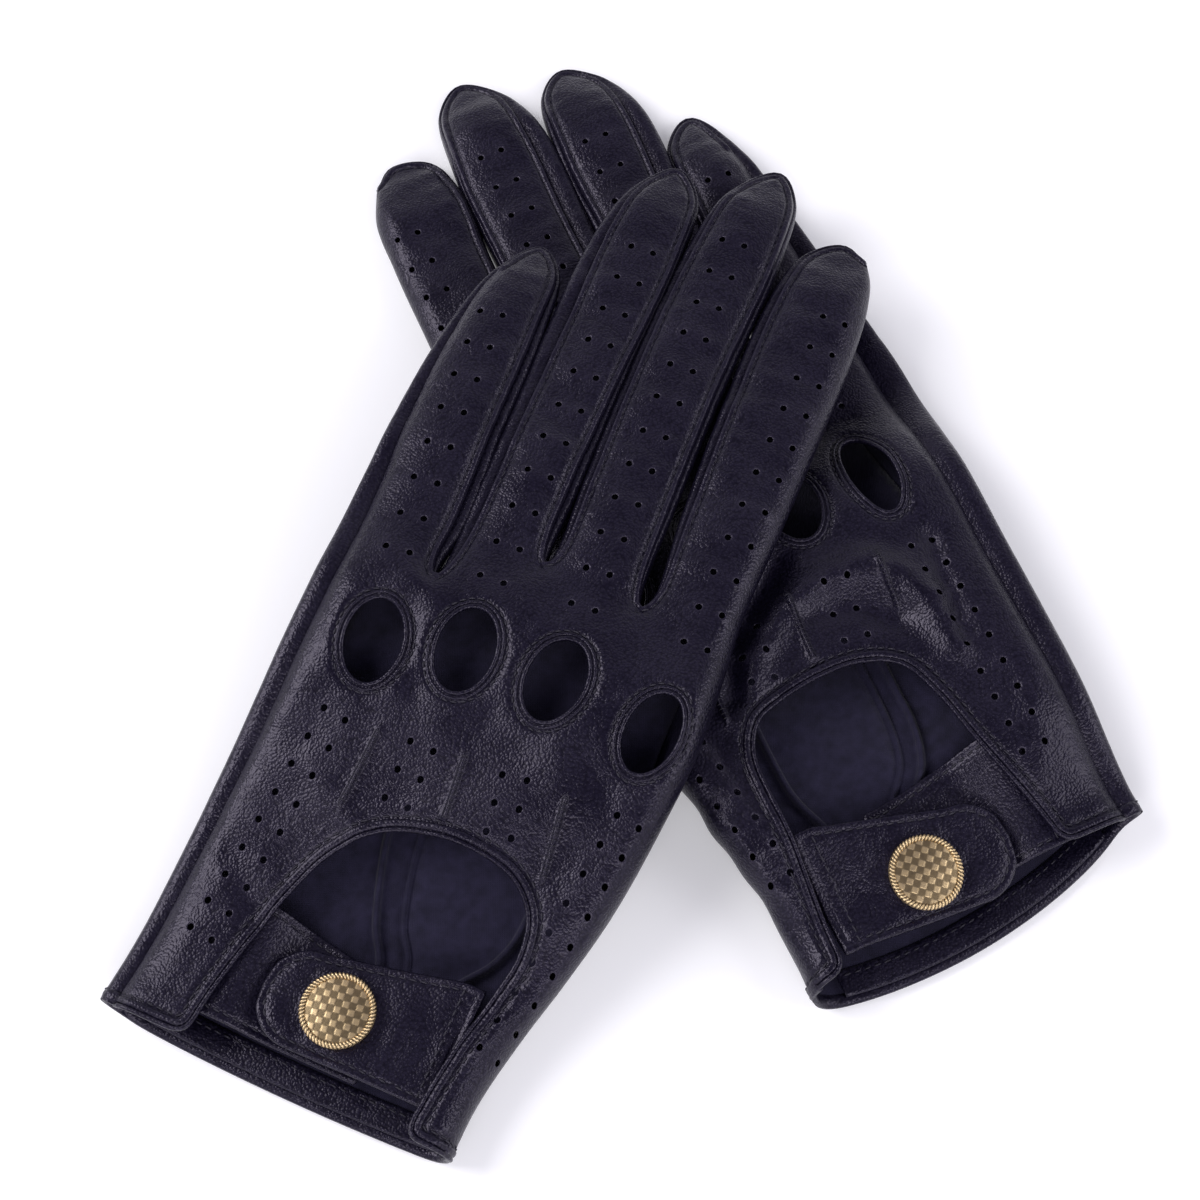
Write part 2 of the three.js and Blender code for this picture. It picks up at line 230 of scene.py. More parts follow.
# A seam outline runs from the cuff's little-finger corner to the index fingertip. Each point is
# u, v and how far the side leather bulges out past the seam there.
LEFT = {
    "name": "left",
    "mirror": 1,
    "lift": lambda v: 1 + 18.4 * smooth(12, 98, v) - 5 * smooth(122, 205, v),
    "outline": [
        (-34.7, -0.8, 3.7), (-34, 10, 3.7), (-33.2, 27, 4), (-32.2, 47, 4.3), (-31.5, 72, 4.6),
        (-31.5, 98, 4.7), (-32.6, 113, 4.3), (-34.2, 131, 3.4), (-35, 152, 2.4), (-33.6, 170.5, 1.4),
        (-28.2, 182.4, 0.9), (-22, 177, 0.7), (-19.5, 162, 1.6), (-17.1, 136, 1.9),
        (-15.1, 113, 2.2), (-14.5, 102.6, 1.3), (-13.1, 99.4, 0.6), (-11.7, 102.6, 1.3),
        (-11.2, 115, 2.6), (-12.9, 140, 2.8), (-14.7, 170, 3.7), (-16, 193, 2.6),
        (-14.4, 206.5, 1.3), (-9.2, 213.4, 0.9), (-2.8, 208, 0.7), (0.4, 190, 0.6),
        (1.7, 158, 1), (3, 128, 1.7), (4.2, 115, 0.9), (5.6, 111.5, 0.4), (7.1, 115, 1),
        (6.3, 130, 1.6), (4.1, 156, 1.7), (2.5, 192, 1.7), (4.6, 212.5, 1.1), (11.4, 221.8, 0.9),
        (17.2, 215.8, 0.7), (20, 199, 0.8), (21, 168, 1.1), (23.2, 134, 1),
        (25.4, 114, 0.3), (27, 110.4, 0.3), (28.7, 114, 0.6), (27.5, 132, 1.5), (25.4, 160, 2),
        (23.8, 191, 1.8), (25.4, 204.2, 1.2), (31.4, 210, 0.9), (37.4, 208.6, 0.8),
    ],
    "fold": [(-0.8, 36.7), (10, 36.9), (26, 39.7), (37.5, 42.7), (52, 46.1), (70, 48.4),
             (88, 49.3), (103, 47.9), (113, 46.6), (140, 45.8), (170, 44.6), (186, 43.6),
             (198, 41.8), (204.5, 39.8), (208.6, 37.4)],
    "opening": [(-19.2, -0.8), (-18.1, 10), (-16.2, 20), (-13.4, 31), (-8.6, 41.5), (-1, 49),
                (8, 52), (18, 52.6), (26.5, 50.6), (31.8, 45.5), (33.4, 38), (32, 29.5),
                (29.6, 19), (28.2, 9), (27.4, -0.8)],
    "holes": [((-17.9, 81.4), (6.0, 8.7), 10), ((-0.4, 86.8), (6.1, 8.9), 6),
              ((18.5, 88), (6.1, 8.9), 0), ((40.0, 85.6), (5.5, 8.6), -3)],
    "points": [((-9.4, 65.4), (-10.5, 50.6)), ((8.4, 67.5), (9.5, 55.6)),
               ((29.8, 67.5), (31.6, 53.1))],
    "punched": [((-29, 159.5), (-21.9, 100.7), 8), ((-6.9, 188.2), (-2.1, 102.6), 11),
                ((10.3, 197.6), (16.9, 104.6), 12), ((37.2, 188.6), (40.5, 106), 11),
                ((-18.9, 65.5), (-25.3, 18), 9), ((-0.3, 66.3), (-0.6, 54.9), 3),
                ((19.0, 67.6), (20.5, 56.8), 3), ((42.6, 68.4), (36, 19.3), 9)],
    "fingers": {
        "index": ((37, 113.3), (35, 209.5)), "middle": ((16, 113.3), (11, 222)),
        "ring": ((-4, 113.3), (-9.2, 213)), "little": ((-25.8, 101.7), (-28, 183.5)),
    },
    "webs": [((-13.1, 99.4), (-17.6, 190)), ((5.6, 111.5), (1, 205)), ((27, 110.4), (21.6, 200))],
    "snap": (5.9, 14.9),
    "strap_root": 17.6,
    "slope": 0.0,
    "bow": 1.5,
    "thumb": ((35, 60), (2, 86)),
    "checks_turned": 10,
    "lining_tucks": [[(-1.5, 54), (-1, 49.4), (1.5, 40.4), (3.9, 34), (7.4, 28.2), (10, 14)],
                     [(21, 27), (24.6, 32), (28.1, 36.5), (30.4, 42.3), (31, 52)]],
    "lining_seams": [[(4.6, 58), (4.9, 52.4), (6.7, 42.6), (8.9, 36.1), (12.6, 30.3), (15, 14)]],
    "lining_top": [(-27.5, 60), (-26, 94), (-13, 99), (-11, 104), (41, 104), (43, 60)],
    "lining_step": [(10, 18), (31, 19), (43, 19.9), (54, 22.4), (80, 26)],
}
RIGHT = {
    "name": "right",
    "mirror": -1,
    "lift": lambda v: 1 - smooth(0, 10, v) + 6.8 * smooth(4, 34, v) * (1 - smooth(82, 110, v)),
    "outline": [
        (-33.2, 3.2, 4.8), (-33.1, 12, 5), (-33.2, 28, 5.2), (-33.7, 47, 5.6), (-34.4, 74, 6),
        (-34.7, 92, 6.2), (-35.4, 112, 6.8), (-35, 130, 6), (-34.6, 157, 4.2), (-34.2, 177.5, 2.6),
        (-29.6, 193.6, 1.1), (-22, 187.8, 0.8), (-19.6, 168, 1), (-17.6, 136, 0.5),
        (-15.6, 114, 0.4), (-14.2, 107.5, 0.3), (-12.8, 111, 0.8), (-13, 140, 3.4),
        (-14.4, 174, 4.8), (-16.2, 199, 4.4), (-14.8, 212.6, 1.6), (-8.4, 218.2, 0.9),
        (-1.8, 213, 0.7), (1.2, 198, 1.2), (2.3, 167, 1.2), (4, 134, 0.3), (4.9, 120, 0.3),
        (6.2, 116.6, 0.3), (7.6, 120, 0.6), (8.3, 146, 2.6), (8, 178, 4.8), (7, 205, 4.4),
        (8.6, 218.9, 1.4), (14.8, 224.2, 0.9), (21.6, 218.6, 0.7), (25.2, 201, 0.5),
        (26.3, 174, 0.4), (26.8, 140, 0.3), (26.8, 119, 0.3), (28.3, 115.5, 0.3), (29.8, 119, 0.4),
        (29.4, 145, 0.8), (28.2, 178, 1), (26.9, 197, 1), (29.6, 207.6, 0.9), (37.6, 210, 0.8),
        (43, 206.6, 0.8),
    ],
    "fold": [(-2.6, 39.2), (5, 38.8), (13, 39.1), (19, 39.5), (24, 41), (29, 41.8), (34, 43.2),
             (40, 43.4), (46, 44.8), (52, 46), (60, 48), (75, 49.6), (95, 49.8), (113, 49),
             (140, 49), (165, 48.4), (185, 47.8), (198, 46.6), (206.6, 43)],
    "opening": [(-19.2, 3.2), (-18, 10), (-15, 20), (-11.9, 30), (-9.7, 40), (-6.2, 48.6),
                (1, 52.4), (10, 53), (19, 52), (25.8, 49.4), (29.2, 44), (30.1, 36), (30, 25),
                (30.9, 12), (31.8, -1.2)],
    "holes": [((-20.9, 90), (5.0, 10.4), 2), ((-2.4, 90.6), (6.0, 9.4), 4),
              ((16, 91), (6.1, 9), 0), ((38.5, 89), (5.6, 8.8), -3)],
    "points": [((8.5, 71), (9.5, 56.9)), ((-11.9, 71), (-11.3, 60)), ((30.8, 58), (31.3, 52))],
    "punched": [((-26.8, 173.5), (-22.6, 110), 8), ((-6.4, 195), (-2.8, 108), 11),
                ((16.9, 200.8), (17, 108), 12), ((42.5, 189), (42.6, 107), 11),
                ((-22.6, 70.8), (-22, 22.4), 9), ((-2.2, 70.3), (-0.4, 57.5), 3),
                ((19.2, 68.4), (20.8, 57), 3), ((42.6, 68.4), (35.6, 19.6), 9)],
    "fingers": {
        "index": ((38.4, 113.3), (38, 209)), "middle": ((16.8, 113.3), (15.6, 224)),
        "ring": ((-4, 113.3), (-8, 218)), "little": ((-26, 101.7), (-29.5, 192.5)),
    },
    "webs": [],
    "snap": (8.9, 9.6),
    "strap_root": 13.8,
    "slope": 0.2,
    "bow": 7.4,
    "thumb": ((35, 45), (0, 71)),
    "checks_turned": 40,
    "lining_tucks": [[(-5, 58), (-4.9, 50.2), (-4.9, 39.7), (-2.2, 30.6), (2, 24.7), (6, 12)],
                     [(25, 54), (25, 43.3), (24.3, 33.9), (22, 27.9), (18, 20)]],
    "lining_seams": [[(-1, 58), (-0.8, 52), (-0.4, 41.7), (1.7, 32.4), (7.3, 24.9), (12, 12)]],
    "lining_top": [(-28, 60), (-27, 107), (41, 107), (43, 60)],
    "lining_step": [(12, 5), (26.5, 10.8), (32, 13.3), (41, 15.3), (50, 17.3), (75, 19)],
}


# Folds: the line that each follows on the pattern, its height and its width.
FOLDS = {
    "left": [
        ([(-12, 22), (-20, 27), (-27, 35)], -0.6, 2.6),
        ([(-14.5, 92), (-11, 84), (-6.2, 76)], -0.9, 2.2),
        ([(-17, 97), (-12.5, 94.5)], 0.7, 2.4),
        ([(4, 104), (8, 99)], 0.5, 2.6),
        ([(30, 76), (36, 72.5)], -0.6, 2.6),
        ([(-20, 56), (-12, 50), (-5, 47)], 0.5, 2.4),
        ([(33, 18), (38, 27), (43, 38)], 0.6, 2.4),
        ([(31, 24), (36.5, 35), (42, 47)], -0.5, 2.2),
        ([(-29, 62), (-25, 76), (-27, 90)], 0.4, 2.8),
    ],
    "right": [
        ([(28, 52), (20.5, 62), (10, 69), (0, 72), (-9, 71.3), (-15, 66.5), (-17.5, 58), (-18, 47)],
         2.1, 3.4),
        ([(-25.5, 72), (-23.6, 66), (-22.4, 58), (-20.5, 48)], -1.4, 1.7),
        ([(4, 66), (-5, 63.4), (-10, 58)], -1.3, 2.8),
        ([(6, 80), (16, 73), (24, 65.5), (27, 56)], -1.7, 2.6),
        ([(14, 80), (23, 71), (31, 60)], 0.9, 2.4),
        ([(36.5, 56), (34.6, 46), (33.8, 33)], -0.9, 1.7),
        ([(41, 40), (37, 30), (35, 20)], -0.9, 1.6),
        ([(40, 33), (38.4, 25), (37, 18)], 0.8, 1.5),
        ([(41, 18), (36.5, 10.5)], -0.8, 1.5),
        ([(42, 9), (39.4, 0)], 0.6, 1.5),
        ([(-31, 96), (-24, 88), (-26, 78)], 0.7, 3),
        ([(-30, 40), (-25, 30), (-22, 18)], 0.5, 2.6),
    ],
}


class Glove:
    """One glove's pattern, its surface and its place in the row frame."""

    def __init__(self, spec):
        self.__dict__.update(spec)
        hinge = next(j for j in frame["joints"] if j["name"] == f"{self.name}_strap_hinge")
        self.forward = unit(self.mirror * np.array(hinge["axis"][:2]))
        self.across = self.mirror * np.array([self.forward[1], -self.forward[0]])
        pivot = np.array(hinge["pos_m"][:2]) / MM
        self.origin = pivot - HINGE_U * self.across - self.strap_root * self.forward
        self.fold_edge = through(*self.fold)
        self.seam = spline(self.outline, 1.15)
        self.cuff_end, self.top_end = self.fold[0][0], self.fold[LAST][0]
        little_tip = self.fingers["little"][1][1]
        self.rolled = int(np.argmax(self.seam[:, 1] > little_tip - 13))
        self.root = f"{self.name}_glove"

    def row(self, local):
        """Local points in millimetres as row points in metres."""
        flat = self.origin + local[:, :1] * self.across + local[:, 1:2] * self.forward
        return np.column_stack([flat, local[:, 2]]) * MM

    def turn(self, vectors):
        """Local directions as row directions."""
        flat = vectors[:, :1] * self.across + vectors[:, 1:2] * self.forward
        return np.column_stack([flat, vectors[:, 2]])

    def thickness(self, u, v):
        """Thickness of the flat glove: less in the fingers than in the hand, least at their tips."""
        t = HAND_THICKNESS - (HAND_THICKNESS - FINGER_THICKNESS) * smooth(92, 112, v)
        nearest = np.full(np.shape(u), 1e9)
        thin = np.zeros(np.shape(u))
        for base, tip in self.fingers.values():
            run = np.subtract(tip, base)
            length = np.linalg.norm(run)
            run = run / length
            s = (u - base[0]) * run[0] + (v - base[1]) * run[1]
            off = np.abs((u - base[0]) * run[1] - (v - base[1]) * run[0])
            closer = off < nearest
            thin = np.where(closer, smooth(length - 17, length + 1, s), thin)
            nearest = np.where(closer, off, nearest)
        return t - TIP_THINNING * thin

    def fold_size(self, v):
        """How full the fold on the index-finger side is: it closes towards the fingertip."""
        return 1 - 0.86 * smooth(self.top_end - 14, self.top_end, v)

    def fold_line(self, v):
        """Where the sheets' pattern ends on the folded side: the middle of the fold."""
        return self.fold_edge(v) + (FOLD_ARC - FOLD_RADIUS) * self.fold_size(v)

    def fold_points(self):
        """The folded side of the pattern, from the index fingertip to the cuff."""
        v = np.linspace(self.top_end, self.cuff_end, 150)[1:]
        return np.column_stack([self.fold_line(v), v])

    def surface(self, points, side, relief=True):
        """Local points of the back (side 1) or palm (side -1) sheet at pattern points."""
        q, v = points[:, 0], points[:, 1]
        size = self.fold_size(v)
        start = self.fold_edge(v) - FOLD_RADIUS * size
        turn = np.clip((q - start) / (FOLD_ARC * size), 0, 1) * math.pi / 2
        u = np.where(q > start, start + FOLD_RADIUS * size * np.sin(turn), q)
        full = self.thickness(u, v)
        reach = distance(points, self.seam)
        drop = EDGE_DROP * np.clip(1 - reach / EDGE_REACH, 0, 1) ** 2
        half = (full / 2 - drop) * np.cos(turn)
        z = self.lift(v) + full / 2 + side * half
        if relief:
            stitched = smooth(0, 2, distance(points, self.seam[: self.rolled]) - reach)
            edge = stitched * seam_profile(reach) + (1 - stitched) * roll_profile(reach)
            z = z + self.relief(u, v, side) * np.cos(turn) + side * edge
        return np.column_stack([u, v, z])

    def relief(self, u, v, side):
        """Soft unevenness and folds of the sheet."""
        if side < 0:
            return 0.12 + 0.12 * np.sin(u * 0.21 + 1) * np.sin(v * 0.13)
        place = np.column_stack([u, v])
        total = 1.1 * unevenness(place, 0.055, 0.04, self.mirror * 3.1)
        total += 0.3 * unevenness(place, 0.16, 0.13, self.mirror * 7.7)
        total += 0.42 * unevenness(place, 0.1, 0.3, self.mirror * 5.3) * smooth(104, 130, v)
        for chain, height, width in FOLDS[self.name]:
            total += height * ridge(distance(place, np.array(chain, float)), width)
        return total


def seam_profile(reach):
    """Relief of a lapped seam: a flat band with a raised rim, and the groove that the stitches pull."""
    rim = 0.24 * ridge(reach - 0.42, 0.26)
    band = 0.26 * (1 - smooth(1.1, 1.45, reach))
    groove = -0.34 * ridge(reach - STITCH_INSET, 0.24)
    pillow = 0.16 * ridge(reach - 2.5, 0.9)
    rolled = -0.6 * np.clip(1 - reach / 0.35, 0, 1) ** 2
    return rim + band + groove + pillow + rolled


def roll_profile(reach):
    """Relief of an edge that rolls under without a stitch line, down the little-finger side."""
    return -0.8 * np.clip(1 - reach / 2.6, 0, 1) ** 2


def point_profile(points, segments):
    """Relief of the raised pintucks."""
    total = np.zeros(len(points))
    for start, end in segments:
        away = distance(points, np.array([start, end], float))
        total += 0.95 * ridge(away, 0.52) - 0.25 * ridge(away - 1.5, 0.6)
    return total


# ---- Mesh helpers ----


def make_object(name, vertices, faces, normals=None):
    mesh = bpy.data.meshes.new(name)
    mesh.from_pydata([tuple(v) for v in vertices], [], [tuple(int(i) for i in f) for f in faces])
    mesh.polygons.foreach_set("use_smooth", [True] * len(mesh.polygons))
    mesh.update()
    if normals is not None:
        mesh.normals_split_custom_set_from_vertices([tuple(n) for n in normals])
    obj = bpy.data.objects.new(name, mesh)
    bpy.context.scene.collection.objects.link(obj)
    return obj


def vertex_normals(vertices, faces):
    total = np.zeros_like(vertices)
    a, b, c = (vertices[faces[:, i]] for i in range(3))
    area = np.cross(b - a, c - a)
    for i in range(3):
        np.add.at(total, faces[:, i], area)
    return unit(total)


def border_edges(faces):
    """Directed edges that only one face has."""
    edges = np.vstack([faces[:, [0, 1]], faces[:, [1, 2]], faces[:, [2, 0]]])
    keys = {(a, b) for a, b in edges.tolist()}
    return np.array([(a, b) for a, b in edges.tolist() if (b, a) not in keys]).reshape(-1, 2)


def solid(top, bottom, faces):
    """A closed body between two sheets that share their faces."""
    a, b = border_edges(faces).T
    count = len(top)
    walls = [np.column_stack([b, a, a + count]), np.column_stack([b, a + count, b + count])]
    return np.vstack([top, bottom]), np.vstack([faces, faces[:, ::-1] + count, *walls])


def grid_faces(rows, columns, around=False, ring=False):
    """Triangles of a grid of vertices; around joins its last column to the first, ring its rows."""
    index = np.arange(rows * columns).reshape(rows, columns)
    if around:
        index = np.column_stack([index, index[:, 0]])
    if ring:
        index = np.vstack([index, index[0]])
    a, b, c, d = index[:LAST, :LAST], index[:LAST, 1:], index[1:, 1:], index[1:, :LAST]
    return np.vstack([np.column_stack([p.ravel() for p in corners]) for corners in ((a, b, c), (a, c, d))])


def tube_faces(rows, columns):
    """Triangles of a tube whose two ends close on the two vertices that follow its grid."""
    middle = rows * columns
    first = np.arange(columns)
    last = first + middle - columns
    start = np.column_stack([np.full(columns, middle), np.roll(first, -1), first])
    end = np.column_stack([np.full(columns, middle + 1), last, np.roll(last, -1)])
    return np.vstack([grid_faces(rows, columns, around=True), start, end])


def turning(flat, faces):
    """Twice the area of each flat triangle, negative where it turns to the right."""
    one, two = (flat[faces[:, i]] - flat[faces[:, 0]] for i in (1, 2))
    return one[:, 0] * two[:, 1] - one[:, 1] * two[:, 0]


def triangulate(loops, extra):
    """Triangles inside closed loops (holes included as loops) with extra inner points."""
    points = np.vstack(loops + [extra])
    edges, start = [], 0
    for loop in loops:
        n = len(loop)
        edges += [(start + i, start + (i + 1) % n) for i in range(n)]
        start += n
    result = delaunay_2d_cdt([Vector(p) for p in points[:, :2]], edges, [], 0, 1e-5)
    flat = np.array([tuple(p) for p in result[0]])
    faces = np.array([f for f in result[2] if len(f) == 3])
    centres = flat[faces].mean(axis=1)
    faces = faces[inside(centres, loops)]
    wrong = turning(flat, faces) < 0
    faces[wrong] = faces[wrong][:, ::-1]
    return flat, faces


def thin_out(points, kept, spacing):
    """The points that are at least spacing away from every kept one."""
    tree = KDTree(len(kept))
    for i, p in enumerate(kept):
        tree.insert((p[0], p[1], 0), i)
    tree.balance()
    return np.array([p for p in points if tree.find((p[0], p[1], 0))[2] > spacing])


def closed(loop):
    """A loop as a line that ends where it starts."""
    return np.vstack([loop, loop[:1]])


def sheet_points(loops, seams, spacing, dots=()):
    """Inner vertices of a sheet: rings along its seams, given dots, and an even grid."""
    borders = [closed(loop) for loop in loops]
    kept = [np.array(list(dots), float).reshape(-1, 2)]
    for seam, depths in seams:
        for depth in depths:
            for side in (-1, 1):
                ring = seam[:, :2] + side * depth * normals_2d(seam)
                ring = ring[inside(ring, loops)]
                if len(ring):
                    ring = ring[distance(ring, seam) > 0.86 * depth]
                if len(ring):
                    clear = np.min([distance(ring, border) for border in borders], axis=0)
                    kept.append(ring[clear > 0.17])
    kept = np.vstack(kept)
    everything = np.vstack(loops)
    low, high = everything.min(0), everything.max(0)
    rows = np.arange(low[1], high[1], spacing * 0.87)
    columns = np.arange(low[0], high[0], spacing)
    grid = np.array([(x + (i % 2) * spacing / 2, y) for i, y in enumerate(rows) for x in columns])
    grid = grid[inside(grid, loops)]
    return np.vstack([kept, thin_out(grid, np.vstack([everything, kept]), spacing * 0.72)])


# ---- Leather sheets of the hand ----


def hem_line(glove):
    """The palm's hem on the pattern, from the folded side to the seam, bowed out of the cuff."""
    start, end = np.array([glove.fold_line(glove.cuff_end), glove.cuff_end]), glove.seam[0, :2]
    t = np.linspace(0, 1, 60)[:, None]
    line = start + (end - start) * t
    line[:, 1] -= glove.bow * (4 * t * (1 - t)).ravel() ** 0.8
    return even(line, 1.2)


def rounded(one, two, radius=3.2):
    """Two lines that meet, joined by a rounded corner."""
    corner = two[0]
    one = one[np.linalg.norm(one - corner, axis=1) > radius]
    two = two[np.linalg.norm(two - corner, axis=1) > radius]
    t = np.linspace(0, 1, 7)[1:LAST, None]
    arc = (1 - t) ** 2 * one[LAST] + 2 * t * (1 - t) * corner + t * t * two[0]
    return np.vstack([one, arc, two])


def mouth_line(glove):
    """The back's free edge: cuff hem, round the opening, and cuff hem again to the seam."""
    corner = glove.fold_line(glove.cuff_end), glove.cuff_end
    opening = spline(glove.opening, 1.1)[::-1]
    first = even(np.array([corner, opening[0]], float), 1.1)
    last = even(np.array([opening[LAST], glove.seam[0, :2]]), 1.1)
    return even(rounded(rounded(first, opening), last), 1.0)


def punched_holes(glove):
    """The loops of the punched holes on the pattern."""
    size = (HOLE, 1.05 * HOLE)
    return [ellipse(centre, size, count=11) for column in glove.punched for centre in pairs(*column)]


def back_sheet(glove):
    """The back's sheet: its vertices on the pattern and in space, and its faces."""
    mouth, fold, dots = mouth_line(glove), glove.fold_points(), punched_holes(glove)
    holes = [ellipse(at, half, tilt) for at, half, tilt in glove.holes]
    loops = [np.vstack([glove.seam[:, :2], fold, mouth[1:LAST]])] + holes + dots
    point_lines = [even(np.array(segment, float), 0.5) for segment in glove.points]
    seams = [(glove.seam, SEAM_RINGS), (mouth, (0.6, 1.3, 2.0, 2.45, 2.85, 3.5))]
    seams += [(closed(hole), (0.45, 0.95, 1.45, 1.8, 2.15, 2.9)) for hole in holes]
    seams += [(line, (0.28, 0.55, 0.95)) for line in point_lines]
    seams += [(fold, (0.8, 1.6, 2.6, 3.8, 5.2, 6.8))]
    rims = [ellipse(dot.mean(0), (HOLE + wider,) * 2, count=11) for dot in dots for wider in (0.22, 0.5)]
    flat, faces = triangulate(loops, sheet_points(loops, seams, GRID, np.vstack(rims + point_lines)))
    local = glove.surface(flat, 1)
    local[:, 2] += point_profile(flat, glove.points)
    for hole in holes:
        local[:, 2] += groove_profile(distance(flat, closed(hole)), 1.9)
    local[:, 2] += groove_profile(distance(flat, mouth), 2.65)
    rim = distance_to_dots(flat, dots)
    local[:, 2] += 0.14 * ridge(rim - 0.22, 0.14) - 0.12 * ridge(rim, 0.1)
    return flat, local, faces


def groove_profile(away, place):
    """Relief beside a bound edge: the groove that the stitches pull, and a soft swelling past it."""
    groove = -0.36 * ridge(away - place, 0.3)
    return groove + 0.2 * ridge(away - place - 1.1, 0.8)


def distance_to_dots(points, dots):
    """Distance out from the edge of the nearest punched hole."""
    best = np.full(len(points), 1e9)
    for dot in dots:
        best = np.minimum(best, np.linalg.norm(points - dot.mean(0), axis=1) - HOLE)
    return np.abs(best)


def palm_sheet(glove):
    """The palm's sheet, like the back's, facing down."""
    fold = glove.fold_points()
    loops = [np.vstack([glove.seam[:, :2], fold, hem_line(glove)[1:LAST]])]
    seams = [(glove.seam, (0.5, 1.2, 2.1, 3.4)), (fold, (0.8, 1.8, 3, 4.4, 6.2))]
    flat, faces = triangulate(loops, sheet_points(loops, seams, GRID * 1.35))
    return flat, glove.surface(flat, -1), faces[:, ::-1]


def side_wall(glove):
    """The fourchettes and the rolled side: strips between the two sheets along the seam."""
    seam = glove.seam
    outward = -normals_2d(seam)
    bulge = seam[:, 2] * smooth(-0.5, 6, np.arange(len(seam))[::-1])
    top = glove.surface(seam[:, :2], 1)[:, 2]
    bottom = glove.surface(seam[:, :2], -1)[:, 2]
    rows = []
    for t in np.linspace(0, 1, WALL_ROWS):
        weights = ((1 - t) ** 3, 3 * t * (1 - t) ** 2, 3 * t * t * (1 - t), t**3)
        out = weights[0] * -0.5 + (weights[1] + weights[2]) * (bulge * 1.33 + 0.15)
        height = (
            weights[0] * (top - 0.8) + weights[1] * (top + 0.5 * bulge)
            + weights[2] * (bottom + 0.2) + weights[3] * bottom
        )
        rows.append(np.column_stack([seam[:, :2] + out[:, None] * outward, height]))
    return np.tile(seam[:, :2], (WALL_ROWS, 1)), np.vstack(rows), grid_faces(WALL_ROWS, len(seam))


def welded(parts):
    """One mesh from several, with matching vertices joined: vertices, faces, pattern, part of each face."""
    local = np.vstack([p[1] for p in parts])
    flat = np.vstack([p[0] for p in parts])
    start = np.cumsum([0] + [len(p[1]) for p in parts[:LAST]])
    faces = np.vstack([p[2] + s for p, s in zip(parts, start)])
    owner = np.concatenate([np.full(len(p[2]), i) for i, p in enumerate(parts)])
    _, first, same = np.unique(np.round(local, 3), axis=0, return_index=True, return_inverse=True)
    faces = same.ravel()[faces]
    good = (faces[:, 0] != faces[:, 1]) & (faces[:, 1] != faces[:, 2]) & (faces[:, 0] != faces[:, 2])
    return local[first], flat[first], faces[good], owner[good]


def finger_of(glove, points):
    """The lifting finger that each pattern point belongs to, or hand."""
    if not glove.webs:
        return np.full(len(points), "hand")
    u, v = points[:, 0], points[:, 1]
    before = [u < a[0] + (v - a[1]) * (b[0] - a[0]) / (b[1] - a[1]) for a, b in glove.webs]
    return np.select(
        [(v > LITTLE_SPLIT) & before[0], v < FINGER_SPLIT, *before],
        ["little", "hand", "little", "ring", "middle"],
        "index",
    )


def attach(glove, obj, label):
    """The piece rides on its glove; a finger's piece on the glove whose fingers lift only has its transform
    baked.
    """
    body = f"{glove.name}_{label}"
    if label != "hand" and body in frame["bodies"]:
        base, tip = glove.fingers[label]
        run = unit(np.subtract(tip, base))
        ends = [np.append(base + run * (v - base[1]), BEND_HEIGHT) for v in BEND[label]]
        start, end = glove.row(np.array(ends))
        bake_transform(obj)
    else:
        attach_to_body(obj, glove.root)
    return obj


def leather_piece(glove, name, local, faces, normals, pattern, free, materials, lined=True):
    """A sheet of leather with its lined inner side and the walls of its cut edges.

    The pattern's u and v go with every vertex, for the leather's grain, and so does a mask for the painted
    highlight along the seams' rims and round the punched holes.
    """
    used, index = np.unique(faces, return_inverse=True)
    outer = index.reshape(faces.shape)
    points, up = local[used], normals[used]
    all_faces, all_points, all_normals = [outer], [points], [up]
    kinds = [np.zeros(len(outer), int)]
    if lined:
        count = len(points)
        inner = points - LEATHER * up
        all_points.append(inner)
        all_normals.append(-up)
        all_faces.append(outer[:, ::-1] + count)
        kinds.append(np.ones(len(outer), int))
        place = {int(g): i for i, g in enumerate(used)}
        rim = np.array([(place[a], place[b]) for a, b in free if a in place and b in place])
        if len(rim):
            a, b = rim.T
            all_faces.append(np.column_stack([b, a, a + count]))
            all_faces.append(np.column_stack([b, a + count, b + count]))
            kinds += [np.zeros(len(a), int)] * 2
    verts = glove.row(np.vstack(all_points))
    tris = np.vstack(all_faces)
    if glove.mirror < 0:
        tris = tris[:, ::-1]
    obj = make_object(name, verts, tris)
    for material in materials:
        obj.data.materials.append(material)
    drawn = np.vstack([pattern[used]] * (2 if lined else 1))
    obj.data.attributes.new("pattern", "FLOAT_VECTOR", "POINT").data.foreach_set("vector", drawn.ravel())
    obj.data.polygons.foreach_set("material_index", np.concatenate(kinds).astype(np.int32))
    world = glove.turn(np.vstack(all_normals))
    loops = np.empty(len(obj.data.loops), np.int32)
    obj.data.loops.foreach_get("vertex_index", loops)
    wanted = world[loops]
    walls = len(tris) - 2 * len(outer) if lined else 0
    if walls:
        wanted[-3 * walls :] = 0
    obj.data.normals_split_custom_set([tuple(n) for n in wanted])
    obj.data.update()
    return obj


PART_NAMES = ("back", "palm", "side")


